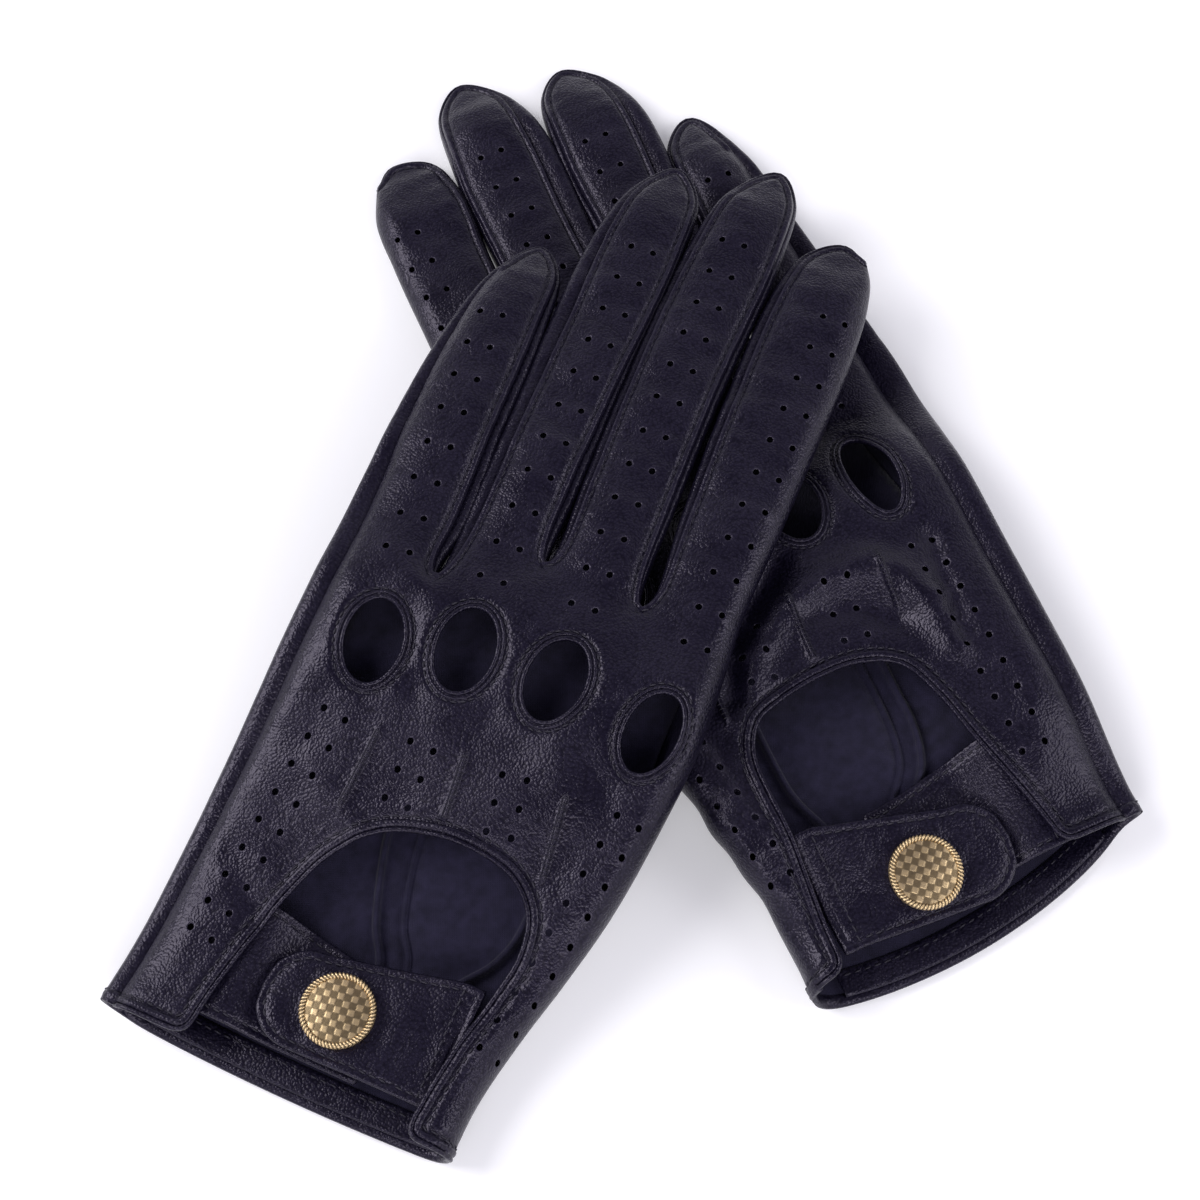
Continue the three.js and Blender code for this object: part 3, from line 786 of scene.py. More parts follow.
def hand_and_fingers(glove, materials):
    """The glove's leather shell, split by sheet and, on the glove whose fingers lift, by finger."""
    parts = [back_sheet(glove), palm_sheet(glove), side_wall(glove)]
    local, flat, faces, owner = welded(parts)
    normals = vertex_normals(local, faces)
    # Painted highlight: the colour is lightened on the rims of the punched holes and along the seams' raised
    # edges, where light catches them.
    painted_edge_highlight = ridge(distance_to_dots(flat, punched_holes(glove)) - 0.25, 0.2)
    painted_edge_highlight = np.maximum(painted_edge_highlight, 0.6 * ridge(distance(flat, glove.seam) - 0.4, 0.3))
    pattern = np.column_stack([flat, painted_edge_highlight]).astype(np.float32)
    free = {tuple(edge) for edge in border_edges(faces).tolist()}
    labels = finger_of(glove, flat[faces].mean(axis=1))
    for i, part in enumerate(PART_NAMES):
        for label in np.unique(labels[owner == i]):
            chosen = (owner == i) & (labels == label)
            name = f"{glove.name}_{label}_{part}_leather"
            obj = leather_piece(glove, name, local, faces[chosen], normals, pattern, free, materials, i < 2)
            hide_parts(*stood_for(glove, label, part))
            attach(glove, obj, label)


def stood_for(glove, label, part):
    """The CAD nodes that a leather piece stands for."""
    fingers = [label] if glove.webs else list(glove.fingers)
    starts = tuple(f"{glove.name}_{finger}_" for finger in fingers if finger != "hand")
    nodes = [node for node in frame["nodes"] if node.startswith(starts) and kind_of(node) == part]
    if label == "hand" and part != "side":
        nodes.append(f"{glove.name}_hand_{part}")
    return nodes


def kind_of(node):
    """Whether a CAD node is a finger's back, palm or side."""
    return "side" if "_side" in node else node.rsplit("_", 1)[1]


# ---- Stitches, bindings and other swept pieces ----


def frames(path, up):
    """Tangent, sideways and upward unit vectors along a path, given rough upward vectors."""
    run = unit(np.gradient(path, axis=0))
    side = unit(np.cross(run, up))
    return run, side, np.cross(side, run)


def sweep(path, up, section, ring=False):
    """A tube along a path; section is (sideways, upward) points, in turn round the tube."""
    if ring:
        path = np.vstack([path[LAST:], path, path[:1]])
        up = np.vstack([up[LAST:], up, up[:1]])
    _, side, above = frames(path, up)
    if ring:
        path, side, above = path[1:LAST], side[1:LAST], above[1:LAST]
    points = (
        path[:, None] + section[None, :, :1] * side[:, None] + section[None, :, 1:] * above[:, None]
    )
    vertices = points.reshape(-1, 3)
    if ring:
        return vertices, grid_faces(len(path), len(section), around=True, ring=True)[:, ::-1]
    return np.vstack([vertices, path[0], path[LAST]]), tube_faces(len(path), len(section))[:, ::-1]


def round_section(wide, tall, count=10):
    """An oval section for a sweep."""
    a = np.linspace(0, 2 * math.pi, count, endpoint=False)
    return np.column_stack([wide * np.cos(a), tall * np.sin(a)])


def thread_template():
    """One stitch along +X, a unit long: a bent bead of thread."""
    stations = [(-0.5, 0.3), (-0.36, 0.85), (0, 1.05), (0.36, 0.85), (0.5, 0.3)]
    section = round_section(1, 1, 6)
    vertices = [(x, s * size, t * size - 2.2 * x * x) for x, size in stations for s, t in section]
    return np.array(vertices), grid_faces(len(stations), len(section), around=True)


def stitches(path, up, length=1.5, pitch=2.1, size=0.21):
    """A row of stitches lying on a path."""
    step = np.linalg.norm(np.diff(path, axis=0), axis=1)
    along = np.concatenate([[0], np.cumsum(step)])
    places = np.arange(pitch / 2, along[LAST], pitch)
    run, side, above = frames(path, up)
    vertices, faces = thread_template()
    everything, all_faces = [], []
    for place in places:
        at = [np.array([np.interp(place, along, c) for c in field.T]) for field in (path, run, side, above)]
        centre, tangent, across, upward = at
        tangent = unit(tangent + STITCH_SLANT * across)
        across = np.cross(upward, tangent)
        body = (
            centre + vertices[:, :1] * length * tangent
            + vertices[:, 1:2] * size * across + vertices[:, 2:] * size * upward
        )
        all_faces.append(faces + len(vertices) * len(everything))
        everything.append(body)
    return np.vstack(everything), np.vstack(all_faces)


def upright(path):
    """An upward vector for each point of a path."""
    return np.tile([0.0, 0.0, 1.0], (len(path), 1))


def merged(parts):
    """Several vertex and face arrays as one."""
    start = np.cumsum([0] + [len(v) for v, _ in parts[:LAST]])
    return np.vstack([v for v, _ in parts]), np.vstack([f + s for (_, f), s in zip(parts, start)])


def new_piece(glove, name, local, faces, material, slot="black_leather"):
    """A piece given in the glove's local millimetres, not yet fixed to a body."""
    obj = make_object(name, glove.row(local), faces[:, ::-1] if glove.mirror < 0 else faces)
    obj.data.materials.append(material)
    return obj


def add_piece(glove, name, local, faces, material, slot="black_leather", label="hand"):
    """A piece that goes with the hand or with one of its fingers."""
    return attach(glove, new_piece(glove, name, local, faces, material, slot), label)


def on_surface(glove, line, side, lift=0.0):
    """A pattern line's path on a sheet, and the sheet's outward vectors there."""
    path = glove.surface(line, side)
    step = 0.35 * normals_2d(line)
    one, two = (glove.surface(line + way * step, side, relief=False) for way in (1, -1))
    up = unit(np.cross(one - two, np.gradient(path, axis=0)))
    up *= np.sign(up[:, 2:]) * side
    return path + lift * up, up


def seam_stitches(glove, material):
    """The stitch line just inside every seam, on the back and on the palm."""
    inset = glove.seam[:, :2] + STITCH_INSET * normals_2d(glove.seam)
    inset = even(inset[glove.rolled + 4 :], 0.8)
    labels = finger_of(glove, inset)
    breaks = np.flatnonzero(labels[1:] != labels[:LAST]) + 1
    groups = {}
    for chunk in np.split(np.arange(len(inset)), breaks):
        if len(chunk) < 6:
            continue
        for side in (1, -1):
            path, up = on_surface(glove, inset[chunk], side, 0.06)
            groups.setdefault(str(labels[chunk[0]]), []).append(stitches(path, up))
    for label, parts in groups.items():
        add_piece(glove, f"{glove.name}_{label}_seam_stitches", *merged(parts), material, label=label)


def hole_trims(glove, leather, thread):
    """A thin rolled edge, a second ridge and a ring of stitches round each knuckle hole."""
    rims, rings = [], []
    for at, half, tilt in glove.holes:
        for out, thick in ((0.15, 0.46), (1.15, 0.36)):
            path, up = on_surface(glove, ellipse(at, np.add(half, out), tilt, 44), 1)
            rims.append(sweep(path - 0.06 * up, up, round_section(thick, thick), ring=True))
        line = even(closed(ellipse(at, np.add(half, 1.9), tilt, 60)), 0.8)
        path, up = on_surface(glove, line, 1, -0.04)
        rings.append(stitches(path, up, length=1.3, pitch=1.8))
    add_piece(glove, f"{glove.name}_knuckle_hole_rims", *merged(rims), leather)
    add_piece(glove, f"{glove.name}_knuckle_hole_stitches", *merged(rings), thread)


def point_stitches(glove, thread):
    """Short stitches across the raised pintucks."""
    parts = []
    for start, end in glove.points:
        line = even(np.array([start, end], float), 0.55)
        path, up = on_surface(glove, line, 1)
        path[:, 2] += 0.92
        side = np.cross(unit(np.gradient(path, axis=0)), up)
        for p, s, n in zip(path[::2], side[::2], up[::2]):
            arc = np.array([p - 0.55 * s - 0.42 * n, p, p + 0.55 * s - 0.42 * n])
            parts.append(sweep(spline3(arc), np.tile(np.cross(s, n), (7, 1)), round_section(0.12, 0.12, 6)))
    add_piece(glove, f"{glove.name}_point_stitches", *merged(parts), thread)


def spline3(arc):
    """A parabola through three points."""
    t = np.linspace(0, 1, 7)[:, None]
    a, b, c = arc
    control = 2 * b - (a + c) / 2
    return (1 - t) ** 2 * a + 2 * t * (1 - t) * control + t * t * c


def opening_trims(glove, leather, thread):
    """Two ridges and a row of stitches along the back's free edge."""
    line = mouth_line(glove)
    outward = -normals_2d(line) * opening_turn(line)
    ridges = []
    for out, wide, tall in ((0.1, 0.5, 0.5), (1.35, 0.8, 0.56)):
        path, up = on_surface(glove, even(line + out * outward, 0.9), 1)
        ridges.append(sweep(path - 0.05 * up, up, round_section(wide, tall, 12)))
    obj = add_piece(glove, f"{glove.name}_opening_binding_leather", *merged(ridges), leather)
    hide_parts(f"{glove.name}_opening_binding")
    path, up = on_surface(glove, even(line + 2.65 * outward, 0.8), 1, -0.04)
    add_piece(glove, f"{glove.name}_opening_stitches", *stitches(path, up), thread)


def opening_turn(line):
    """1 where the normals to the right of the line point into the opening."""
    centre = line.mean(axis=0)
    towards = ((centre - line) * normals_2d(line)).sum(axis=1)
    return np.sign(towards.sum())


def cuff_path(glove):
    """The palm's hem in local space, from the back's seam down the side, across and up the fold."""
    palm = hem_line(glove)[::-1]
    v0 = glove.cuff_end
    fold = np.array([[glove.fold_line(v0), v0], [glove.fold_edge(v0) - 1, v0]])
    _, wall, _ = side_wall(glove)
    side = wall.reshape(WALL_ROWS, -1, 3)[:LAST, 0]
    path = np.vstack([side, glove.surface(palm, -1)[1:LAST], glove.surface(even(fold, 0.8), 1, relief=False)])
    middle = np.column_stack([np.clip(path[:, 0], -30, 34), path[:, 1:]])
    middle[:, 2] = glove.lift(path[:, 1]) + HAND_THICKNESS / 2
    out = path - middle
    out[:, 1] = 0
    return path, unit(out)


def cuff_trims(glove, leather, thread):
    """The palm's rolled hem, and the leather facing that backs it inside the mouth."""
    path, out = cuff_path(glove)
    path = smooth_path(path)
    path[:, 1] += 1.3
    tube = sweep(path - 0.45 * out, out, round_section(1.45, 0.85, 12))
    obj = add_piece(glove, f"{glove.name}_cuff_binding_leather", *tube, leather)
    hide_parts(f"{glove.name}_cuff_binding")
    line = path + 0.3 * out
    line[:, 1] += 1.0
    add_piece(glove, f"{glove.name}_cuff_stitches", *stitches(line, out), thread)
    hem = hem_line(glove)
    hem = hem[(hem[:, 0] > -30.5) & (hem[:, 0] < 33)]
    loop = even(closed(np.vstack([hem + (0, 1.4), (hem + (0, FACING))[::-1]])), 1.1)[:LAST]

    def height(flat):
        return glove.lift(flat[:, 1]) + 2.3

    facing = slab(loop, [(closed(loop), (0.3, 0.8))], height, 0.9)
    name = f"{glove.name}_mouth_facing_leather"
    add_piece(glove, name, *facing, leather)
    line = even(hem[1:LAST] + (0, FACING - 1.3), 0.8)
    path = np.column_stack([line, height(line)])
    row = stitches(path, upright(path))
    add_piece(glove, f"{glove.name}_mouth_facing_stitches", *row, thread)


def smooth_path(path):
    """The same path with its corners eased."""
    for _ in range(3):
        path[1:LAST] = 0.5 * path[1:LAST] + 0.25 * (path[:-2] + path[2:])
    return path


# ---- Straps ----


def hand_top(glove, v):
    """The height of the back's outer surface far from any edge."""
    return glove.lift(v) + HAND_THICKNESS


def strap_plane(glove, v):
    """The height of the plane that the closed strap lies in."""
    middle = glove.snap[1]
    return hand_top(glove, middle) - STRAP + 0.2 + glove.slope * (v - middle)


def slab(loop, seams, height, thickness, spacing=1.2):
    """A closed slab: its top at height(flat points), its edges rounded."""
    flat, faces = triangulate([loop], sheet_points([loop], seams, spacing))
    top = np.column_stack([flat, height(flat)])
    away = distance(flat, closed(loop))
    roll = 0.3 * np.clip(1 - away / 0.5, 0, 1) ** 2
    top[:, 2] += 0.7 * groove_profile(away, 1.55) - roll
    bottom = top - upright(top) * (thickness - 2 * roll)[:, None]
    return solid(top, bottom, faces)


def snap_strap_loop(glove):
    """The snap half of the strap on the pattern, from under the back sheet to its round end."""
    length = STRAP_ROOT_U + 10
    s = np.concatenate([[-4.5, -2], np.linspace(0, length - 0.6, 40)])
    t = np.maximum(0, s - (length - 9)) / 9.5
    along = np.clip(s / (length - 9), 0, 1)
    half = (12.4 - 2.6 * along) * np.sqrt(1 - t * t)
    middle = glove.strap_root + (glove.snap[1] - 0.4 - glove.strap_root) * along
    u = STRAP_ROOT_U - s
    upper = np.column_stack([u, middle + half])
    lower = np.column_stack([u, middle - half])[::-1]
    loop = np.vstack([upper, [[STRAP_ROOT_U - length, middle[LAST]]], lower])
    return even(closed(loop), 1.0)[:LAST]


def snap_strap_top(glove):
    """The snap half's upper surface, as a function of flat points."""

    def height(flat):
        s = STRAP_ROOT_U - flat[:, 0]
        root = hand_top(glove, flat[:, 1]) - LEATHER - 0.15
        plane = strap_plane(glove, flat[:, 1]) + STRAP
        z = root + (plane - root) * smooth(0, 14, s)
        off = flat - glove.snap
        radius, angle = np.linalg.norm(off, axis=1), np.arctan2(off[:, 1], off[:, 0])
        pucker = ridge(radius - 9.2, 1.6) * (1 + 0.8 * np.cos(9 * angle + 1))
        soft = unevenness(flat, 0.14, 0.14, 5.0 * glove.mirror)
        crease = unevenness(flat, 0.3, 0.1, 9.0 * glove.mirror)
        return z - 0.16 * pucker + (0.34 * soft + 0.2 * crease) * smooth(8, 12, radius)

    return height


def stud_strap_loop(glove):
    """The stud half of the strap on the pattern."""
    u = np.linspace(-27, 14, 42)
    top = 29 - 3.5 * smooth(-16, 14, u)
    bottom = np.full(len(u), 4.5 if glove.name == "left" else 3.6)
    loop = np.vstack([np.column_stack([u, top]), np.column_stack([u, bottom])[::-1]])
    return even(closed(loop), 1.1)[:LAST]


def stud_strap_top(glove):
    """The stud half's upper surface, as a function of flat points."""

    def height(flat):
        root = hand_top(glove, flat[:, 1]) - LEATHER - 0.4
        face = strap_plane(glove, flat[:, 1]) - SNAP_STACK
        return root + (face - root) * smooth(-16, -4, flat[:, 0])

    return height


def strap_stitches(loop, height, inset, shown):
    """The row of stitches inside a strap's edge, where shown is true of the place across the hand."""
    line = closed(loop)
    line = even(line + inset * normals_2d(line) * opening_turn(line), 0.8)
    line = line[shown(line[:, 0])]
    start = int(np.argmax(np.linalg.norm(np.diff(line, axis=0), axis=1))) + 1
    line = np.vstack([line[start:], line[:start]])
    path = np.column_stack([line, height(line) - 0.01])
    return stitches(path, upright(path))


def hinge_strap(glove, obj):
    """Finds where the strap is sewn down, and bakes the piece's transform."""
    places = [(STRAP_ROOT_U + 1.6, glove.strap_root, 12), (STRAP_ROOT_U - 5, glove.strap_root, 12)]
    start, end = glove.row(np.array(places, float))
    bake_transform(obj)


def straps(glove, leather, thread):
    """The snap half of the strap, which opens, and the stud half under it."""
    loop, height = snap_strap_loop(glove), snap_strap_top(glove)
    body = slab(loop, [(closed(loop), STRAP_RINGS)], height, STRAP)
    obj = new_piece(glove, f"{glove.name}_snap_strap_leather", *body, leather)
    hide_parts(f"{glove.name}_snap_strap")
    hinge_strap(glove, obj)
    row = strap_stitches(loop, height, 1.55, lambda u: u < STRAP_ROOT_U + 1)
    hinge_strap(glove, new_piece(glove, f"{glove.name}_snap_strap_stitches", *row, thread))

    loop, height = stud_strap_loop(glove), stud_strap_top(glove)
    body = slab(loop, [(closed(loop), STRAP_RINGS)], height, STRAP, 1.6)
    obj = add_piece(glove, f"{glove.name}_stud_strap_leather", *body, leather)
    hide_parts(f"{glove.name}_stud_strap")
    row = strap_stitches(loop, height, 1.6, lambda u: u > -19)
    add_piece(glove, f"{glove.name}_stud_strap_stitches", *row, thread)


# ---- Snap cap ----

def cap_face(turn_deg):
    """The checked, domed face: every other square is sunk."""
    step = 0.14
    side = np.arange(-FACE_RADIUS, FACE_RADIUS + step, step)
    x, y = np.meshgrid(side, side)
    c, s = math.cos(math.radians(turn_deg)), math.sin(math.radians(turn_deg))
    a, b = (c * x + s * y) / CHECK + 0.5, (c * y - s * x) / CHECK + 0.5
    odd = (np.floor(a) + np.floor(b)) % 2
    inset = np.minimum(np.minimum(a % 1, 1 - a % 1), np.minimum(b % 1, 1 - b % 1)) * CHECK
    sunk = odd * smooth(0.02, 0.16, inset)
    line = ridge(inset, 0.09)
    radius = np.hypot(x, y)
    z = 1.75 + 0.5 * (1 - (radius / FACE_RADIUS) ** 2) - 0.05 * sunk - 0.06 * line
    points = np.column_stack([x.ravel(), y.ravel(), z.ravel()])
    faces = grid_faces(len(side), len(side))
    keep = radius.ravel()[faces].max(axis=1) < FACE_RADIUS
    patina = np.clip(0.12 + sunk * 0.58 + line * 0.6, 0, 1).ravel()
    return points, faces[keep], patina


def rope_rim():
    """A twisted rope round the cap's edge."""
    around, tube, strands = 420, 14, 60
    theta, phi = np.meshgrid(
        np.linspace(0, 2 * math.pi, around, endpoint=False),
        np.linspace(0, 2 * math.pi, tube, endpoint=False), indexing="ij",
    )
    wave = np.cos(strands * theta + 2 * phi)
    size = 0.58 + 0.1 * wave
    radius = CAP_RADIUS - 0.7 + size * np.cos(phi)
    points = np.column_stack([
        (radius * np.cos(theta)).ravel(), (radius * np.sin(theta)).ravel(),
        (1.62 + size * np.sin(phi)).ravel(),
    ])
    faces = grid_faces(around, tube, around=True, ring=True)[:, ::-1]
    return points, faces, np.clip(0.42 - wave * 0.6, 0, 1).ravel()


def cap_body():
    """The plain pressed shell under the face and the rope."""
    profile = [(0.02, 1.3), (6.5, 1.3), (7.2, 1.1), (7.35, 0.75), (7.1, 0.42), (0.02, 0.42)]
    around = 64
    a = np.linspace(0, 2 * math.pi, around, endpoint=False)
    circle = np.column_stack([np.cos(a), np.sin(a)])
    rows = [np.column_stack([radius * circle, np.full(around, z)]) for radius, z in profile]
    faces = grid_faces(len(profile), around, around=True)[:, ::-1]
    return np.vstack(rows), faces, np.full(len(profile) * around, 0.45)


def snap_cap(glove, brass):
    """The snap's cap, tilted with the strap that it is pressed on to."""
    parts = [cap_face(glove.checks_turned), rope_rim(), cap_body()]
    points, faces = merged([p[:2] for p in parts])
    patina = np.concatenate([p[2] for p in parts])
    tilt = math.atan(glove.slope)
    c, s = math.cos(tilt), math.sin(tilt)
    u, v, z = points.T
    z = z + STRAP
    local = np.column_stack([u, c * v - s * z, s * v + c * z])
    local += [*glove.snap, float(strap_plane(glove, glove.snap[1]))]
    obj = new_piece(glove, f"{glove.name}_snap_cap_brass", local, faces, brass, "antique_brass")
    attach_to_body(obj, f"{glove.name}_strap")
    attribute = obj.data.attributes.new("patina", "FLOAT", "POINT")
    attribute.data.foreach_set("value", patina.astype(np.float32))
    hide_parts(f"{glove.name}_snap_cap")


# ---- Lining and thumb ----


def palm_lining(glove, cotton, thread):
    """The cotton lining that lies on the palm inside the mouth, with its tucks and seams."""
    hem = hem_line(glove)
    hem = hem[(hem[:, 0] > -30.5) & (hem[:, 0] < 33)] + (0, FACING - 1)
    loop = even(closed(np.vstack([hem, glove.lining_top])), 1.6)[:LAST]
    tucks = [spline(line, 0.8) for line in glove.lining_tucks]
    seams = [spline(line, 0.8) for line in glove.lining_seams]
    step = spline(glove.lining_step, 0.8)
    rings = [(line, (0.3, 0.7, 1.2)) for line in tucks + seams] + [(step, (0.5, 1.1, 1.8, 2.6))]
    flat, faces = triangulate([loop], sheet_points([loop], rings, 1.7))

    def height(points):
        past_facing = smooth(0, 16, points[:, 1] - hem[:, 1].mean())
        past_facing = past_facing * (1 - smooth(86, 101, points[:, 1] - 0.3 * points[:, 0].clip(-20, 0)))
        soft = unevenness(points, 0.09, 0.09, 11.0 * glove.mirror)
        total = glove.lift(points[:, 1]) + 1.75 + (1.2 + 1.3 * soft) * past_facing
        for line in tucks:
            away = distance(points, line)
            total = total + 1.3 * ridge(away, 0.6) - 0.8 * ridge(away - 1.2, 0.45)
        for line in seams:
            away = distance(points, line)
            total = total + 0.6 * ridge(away, 0.5) - 0.85 * ridge(away - 0.85, 0.3)
        total = total - 1.4 * ridge(distance(points, step), 1.1)
        return total + 2.4 * ridge(distance(points, step + (3, 0)), 2.2)

    top = np.column_stack([flat, height(flat)])
    body = solid(top, top - 0.5 * upright(top), faces)
    obj = add_piece(glove, f"{glove.name}_palm_lining_cotton", *body, cotton, "cotton_lining")
    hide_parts(f"{glove.name}_palm_lining")
    area = float(turning(flat, faces).sum() / 2) * MM * MM
    rows = []
    for line in seams:
        for side in (-1, 1):
            beside = even(line + side * 0.8 * normals_2d(line), 0.7)
            beside = beside[inside(beside, [loop])]
            path = np.column_stack([beside, height(beside) + 0.02])
            rows.append(stitches(path, upright(path), size=0.13))
    add_piece(glove, f"{glove.name}_lining_stitches", *merged(rows), thread, "cotton_lining")


def thumb(glove, leather, thread):
    """The thumb, pressed flat and folded across under the palm."""
    base, tip = (np.array(p, float) for p in glove.thumb)
    run = unit(tip - base)
    across = np.array([run[1], -run[0]])
    length = np.linalg.norm(tip - base)
    round_end = length - 10 + 10.3 * np.sin(np.linspace(0.1, 1.5, 12))
    s = np.concatenate([np.linspace(-3, length - 10, 26), round_end])
    t = np.maximum(0, s - (length - 11)) / 11.4
    half = 9 * np.sqrt(np.clip(1 - t**2.2, 0.002, 1))
    thick = 2.75 * np.sqrt(np.clip(1 - (0.93 * t) ** 2.6, 0.02, 1))
    a = np.linspace(0, -2 * math.pi, 36, endpoint=False)  # this way round, the faces look outwards
    x = np.sign(np.cos(a)) * np.abs(np.cos(a)) ** 0.75
    y = np.sign(np.sin(a)) * np.abs(np.sin(a)) ** 0.8
    rows = []
    for si, h, th in zip(s, half, thick):
        place = base + run * si
        uv = place + np.outer(x * h, across)
        roof = glove.lift(uv[:, 1]) - GAP
        rise = 3.6 * (1 - smooth(-3, 14, si))
        ripple = 0.25 * np.sin(si * 0.5) * (y < 0)
        z = roof - 2.9 + y * th + rise + ripple
        rows.append(np.column_stack([uv, z]))
    vertices = np.vstack([*rows, rows[0].mean(0), rows[LAST].mean(0)])
    faces = tube_faces(len(rows), len(a))
    obj = add_piece(glove, f"{glove.name}_thumb_leather", vertices, faces, leather)
    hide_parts(f"{glove.name}_thumb_front", f"{glove.name}_thumb_back")
    seam_rows = []
    for side in (-1, 1):
        line = np.array([base + run * si + side * 0.8 * h * across for si, h in zip(s, half)])[8:]
        z = glove.lift(line[:, 1]) - GAP - 2.9 - 0.86 * thick[8:] + 3.6 * (1 - smooth(-3, 14, s[8:]))
        path = np.column_stack([line, z - 0.1])
        seam_rows.append(stitches(path, -upright(path)))
    add_piece(glove, f"{glove.name}_thumb_stitches", *merged(seam_rows), thread)


# ---- Materials ----


def new_material(name):
    """A new material with its node tree and its shader."""
    material = bpy.data.materials.new(name)
    material.use_nodes = True
    tree = material.node_tree
    shader = tree.nodes["Principled BSDF"]
    return material, tree, shader


def link(tree, a, a_out, b, b_in):
    tree.links.new(a.outputs[a_out], b.inputs[b_in])


def node(tree, kind, **values):
    """A new node; each value goes to the input of that name, or else to the setting."""
    made = tree.nodes.new(kind)
    for key, value in values.items():
        if key in made.inputs:
            made.inputs[key].default_value = value
        else:
            setattr(made, key, value)
    return made


def ramp(tree, source, out, stops):
    """A colour ramp over another node's output, from (position, colour) stops."""
    made = tree.nodes.new("ShaderNodeValToRGB")
    elements = made.color_ramp.elements
    while len(elements) < len(stops):
        elements.new(0.5)
    for element, (position, colour) in zip(elements, stops):
        element.position = position
        element.color = (*colour, 1)
    link(tree, source, out, made, "Fac")
    return made


def bumps(tree, shader, heights):
    """Bumps on the shader's normal, one over another: source, its output, strength and distance."""
    last = None
    for source, out, strength, far in heights:
        bump = node(tree, "ShaderNodeBump", Strength=strength, Distance=far)
        link(tree, source, out, bump, "Height")
        if last:
            link(tree, last, "Normal", bump, "Normal")
        last = bump
    link(tree, last, "Normal", shader, "Normal")


def leather_material():
    """Black lambskin: fine cells, short creases across the fingers, and a sheen that varies; its colour has
    painted highlights on the cells' tops, painted shade in the valleys between them, and painted highlights
    along the seams' rims and round the punched holes.
    """
    material, tree, shader = new_material("black_lambskin")
    place = node(tree, "ShaderNodeTexCoord")
    pattern = node(tree, "ShaderNodeAttribute", attribute_name="pattern")
    parts = node(tree, "ShaderNodeSeparateXYZ")
    link(tree, pattern, "Vector", parts, "Vector")
    warp = node(tree, "ShaderNodeTexNoise", Scale=260.0, Detail=2.0)
    mix = node(tree, "ShaderNodeMix", data_type="VECTOR")
    mix.inputs["Factor"].default_value = 0.0016
    link(tree, place, "Object", warp, "Vector")
    tree.links.new(place.outputs["Object"], mix.inputs[4])
    tree.links.new(warp.outputs["Color"], mix.inputs[5])
    cells = node(tree, "ShaderNodeTexVoronoi", feature="SMOOTH_F1")
    cells.inputs["Scale"].default_value = 1900.0
    cells.inputs["Smoothness"].default_value = 0.45
    tree.links.new(mix.outputs[1], cells.inputs["Vector"])
    pores = node(tree, "ShaderNodeTexNoise", Scale=3400.0, Detail=3.0)
    broad = node(tree, "ShaderNodeTexNoise", Scale=95.0, Detail=4.0)
    for texture in (pores, broad):
        link(tree, place, "Object", texture, "Vector")
    across = node(tree, "ShaderNodeVectorMath", operation="MULTIPLY")
    across.inputs[1].default_value = (0.3, 0.62, 0)
    link(tree, pattern, "Vector", across, 0)
    creases = node(tree, "ShaderNodeTexNoise", Scale=1.0, Detail=4.0, Roughness=0.62)
    link(tree, across, "Vector", creases, "Vector")
    pebbles = ramp(tree, cells, "Distance", [(0.12, (1, 1, 1)), (0.8, (0, 0, 0))])
    bumps(tree, shader, ((pebbles, "Color", 0.5, 0.00016), (pores, "Fac", 0.3, 0.00005),
               (creases, "Fac", 0.25, 0.0004), (broad, "Fac", 0.3, 0.0005)))
    # Painted highlight and shade at the grain's scale: each cell's middle takes this lighter colour and the
    # valleys between the cells take the dark one below.
    tops = ramp(tree, broad, "Fac", [(0.3, (0.0066, 0.0054, 0.0138)), (0.72, (0.0112, 0.0093, 0.0218))])
    colour = node(tree, "ShaderNodeMix", data_type="RGBA")
    colour.inputs[6].default_value = (0.0018, 0.0013, 0.0052, 1)
    tree.links.new(pebbles.outputs["Color"], colour.inputs[0])
    tree.links.new(tops.outputs["Color"], colour.inputs[7])
    # Painted highlight: the colour goes lighter by the pattern's third value, on the rims of seams and
    # punched holes.
    painted_edge_highlight = node(tree, "ShaderNodeMix", data_type="RGBA")
    painted_edge_highlight.inputs[7].default_value = (0.0135, 0.0112, 0.0225, 1)
    link(tree, parts, "Z", painted_edge_highlight, "Factor")
    tree.links.new(colour.outputs[2], painted_edge_highlight.inputs[6])
    tree.links.new(painted_edge_highlight.outputs[2], shader.inputs["Base Color"])
    rough = ramp(tree, broad, "Fac", [(0.28, (0.25,) * 3), (0.75, (0.38,) * 3)])
    link(tree, rough, "Color", shader, "Roughness")
    shader.inputs["Specular IOR Level"].default_value = 0.34
    shader.inputs["Specular Tint"].default_value = (0.88, 0.81, 1, 1)
    return material


def thread_material():
    """Black thread: twisted strands, a little lighter on their tops as a painted highlight."""
    material, tree, shader = new_material("black_thread")
    place = node(tree, "ShaderNodeTexCoord")
    twist = node(tree, "ShaderNodeTexWave", Scale=2600.0, Distortion=1.2)
    link(tree, place, "Object", twist, "Vector")
    bumps(tree, shader, [(twist, "Fac", 0.5, 0.00006)])
    # Painted highlight: the strands' raised bands take the lighter colour.
    colour = ramp(tree, twist, "Fac", [(0.2, (0.008, 0.007, 0.0135)), (0.9, (0.03, 0.0265, 0.041))])
    link(tree, colour, "Color", shader, "Base Color")
    shader.inputs["Roughness"].default_value = 0.5
    shader.inputs["Specular IOR Level"].default_value = 0.3
    return material


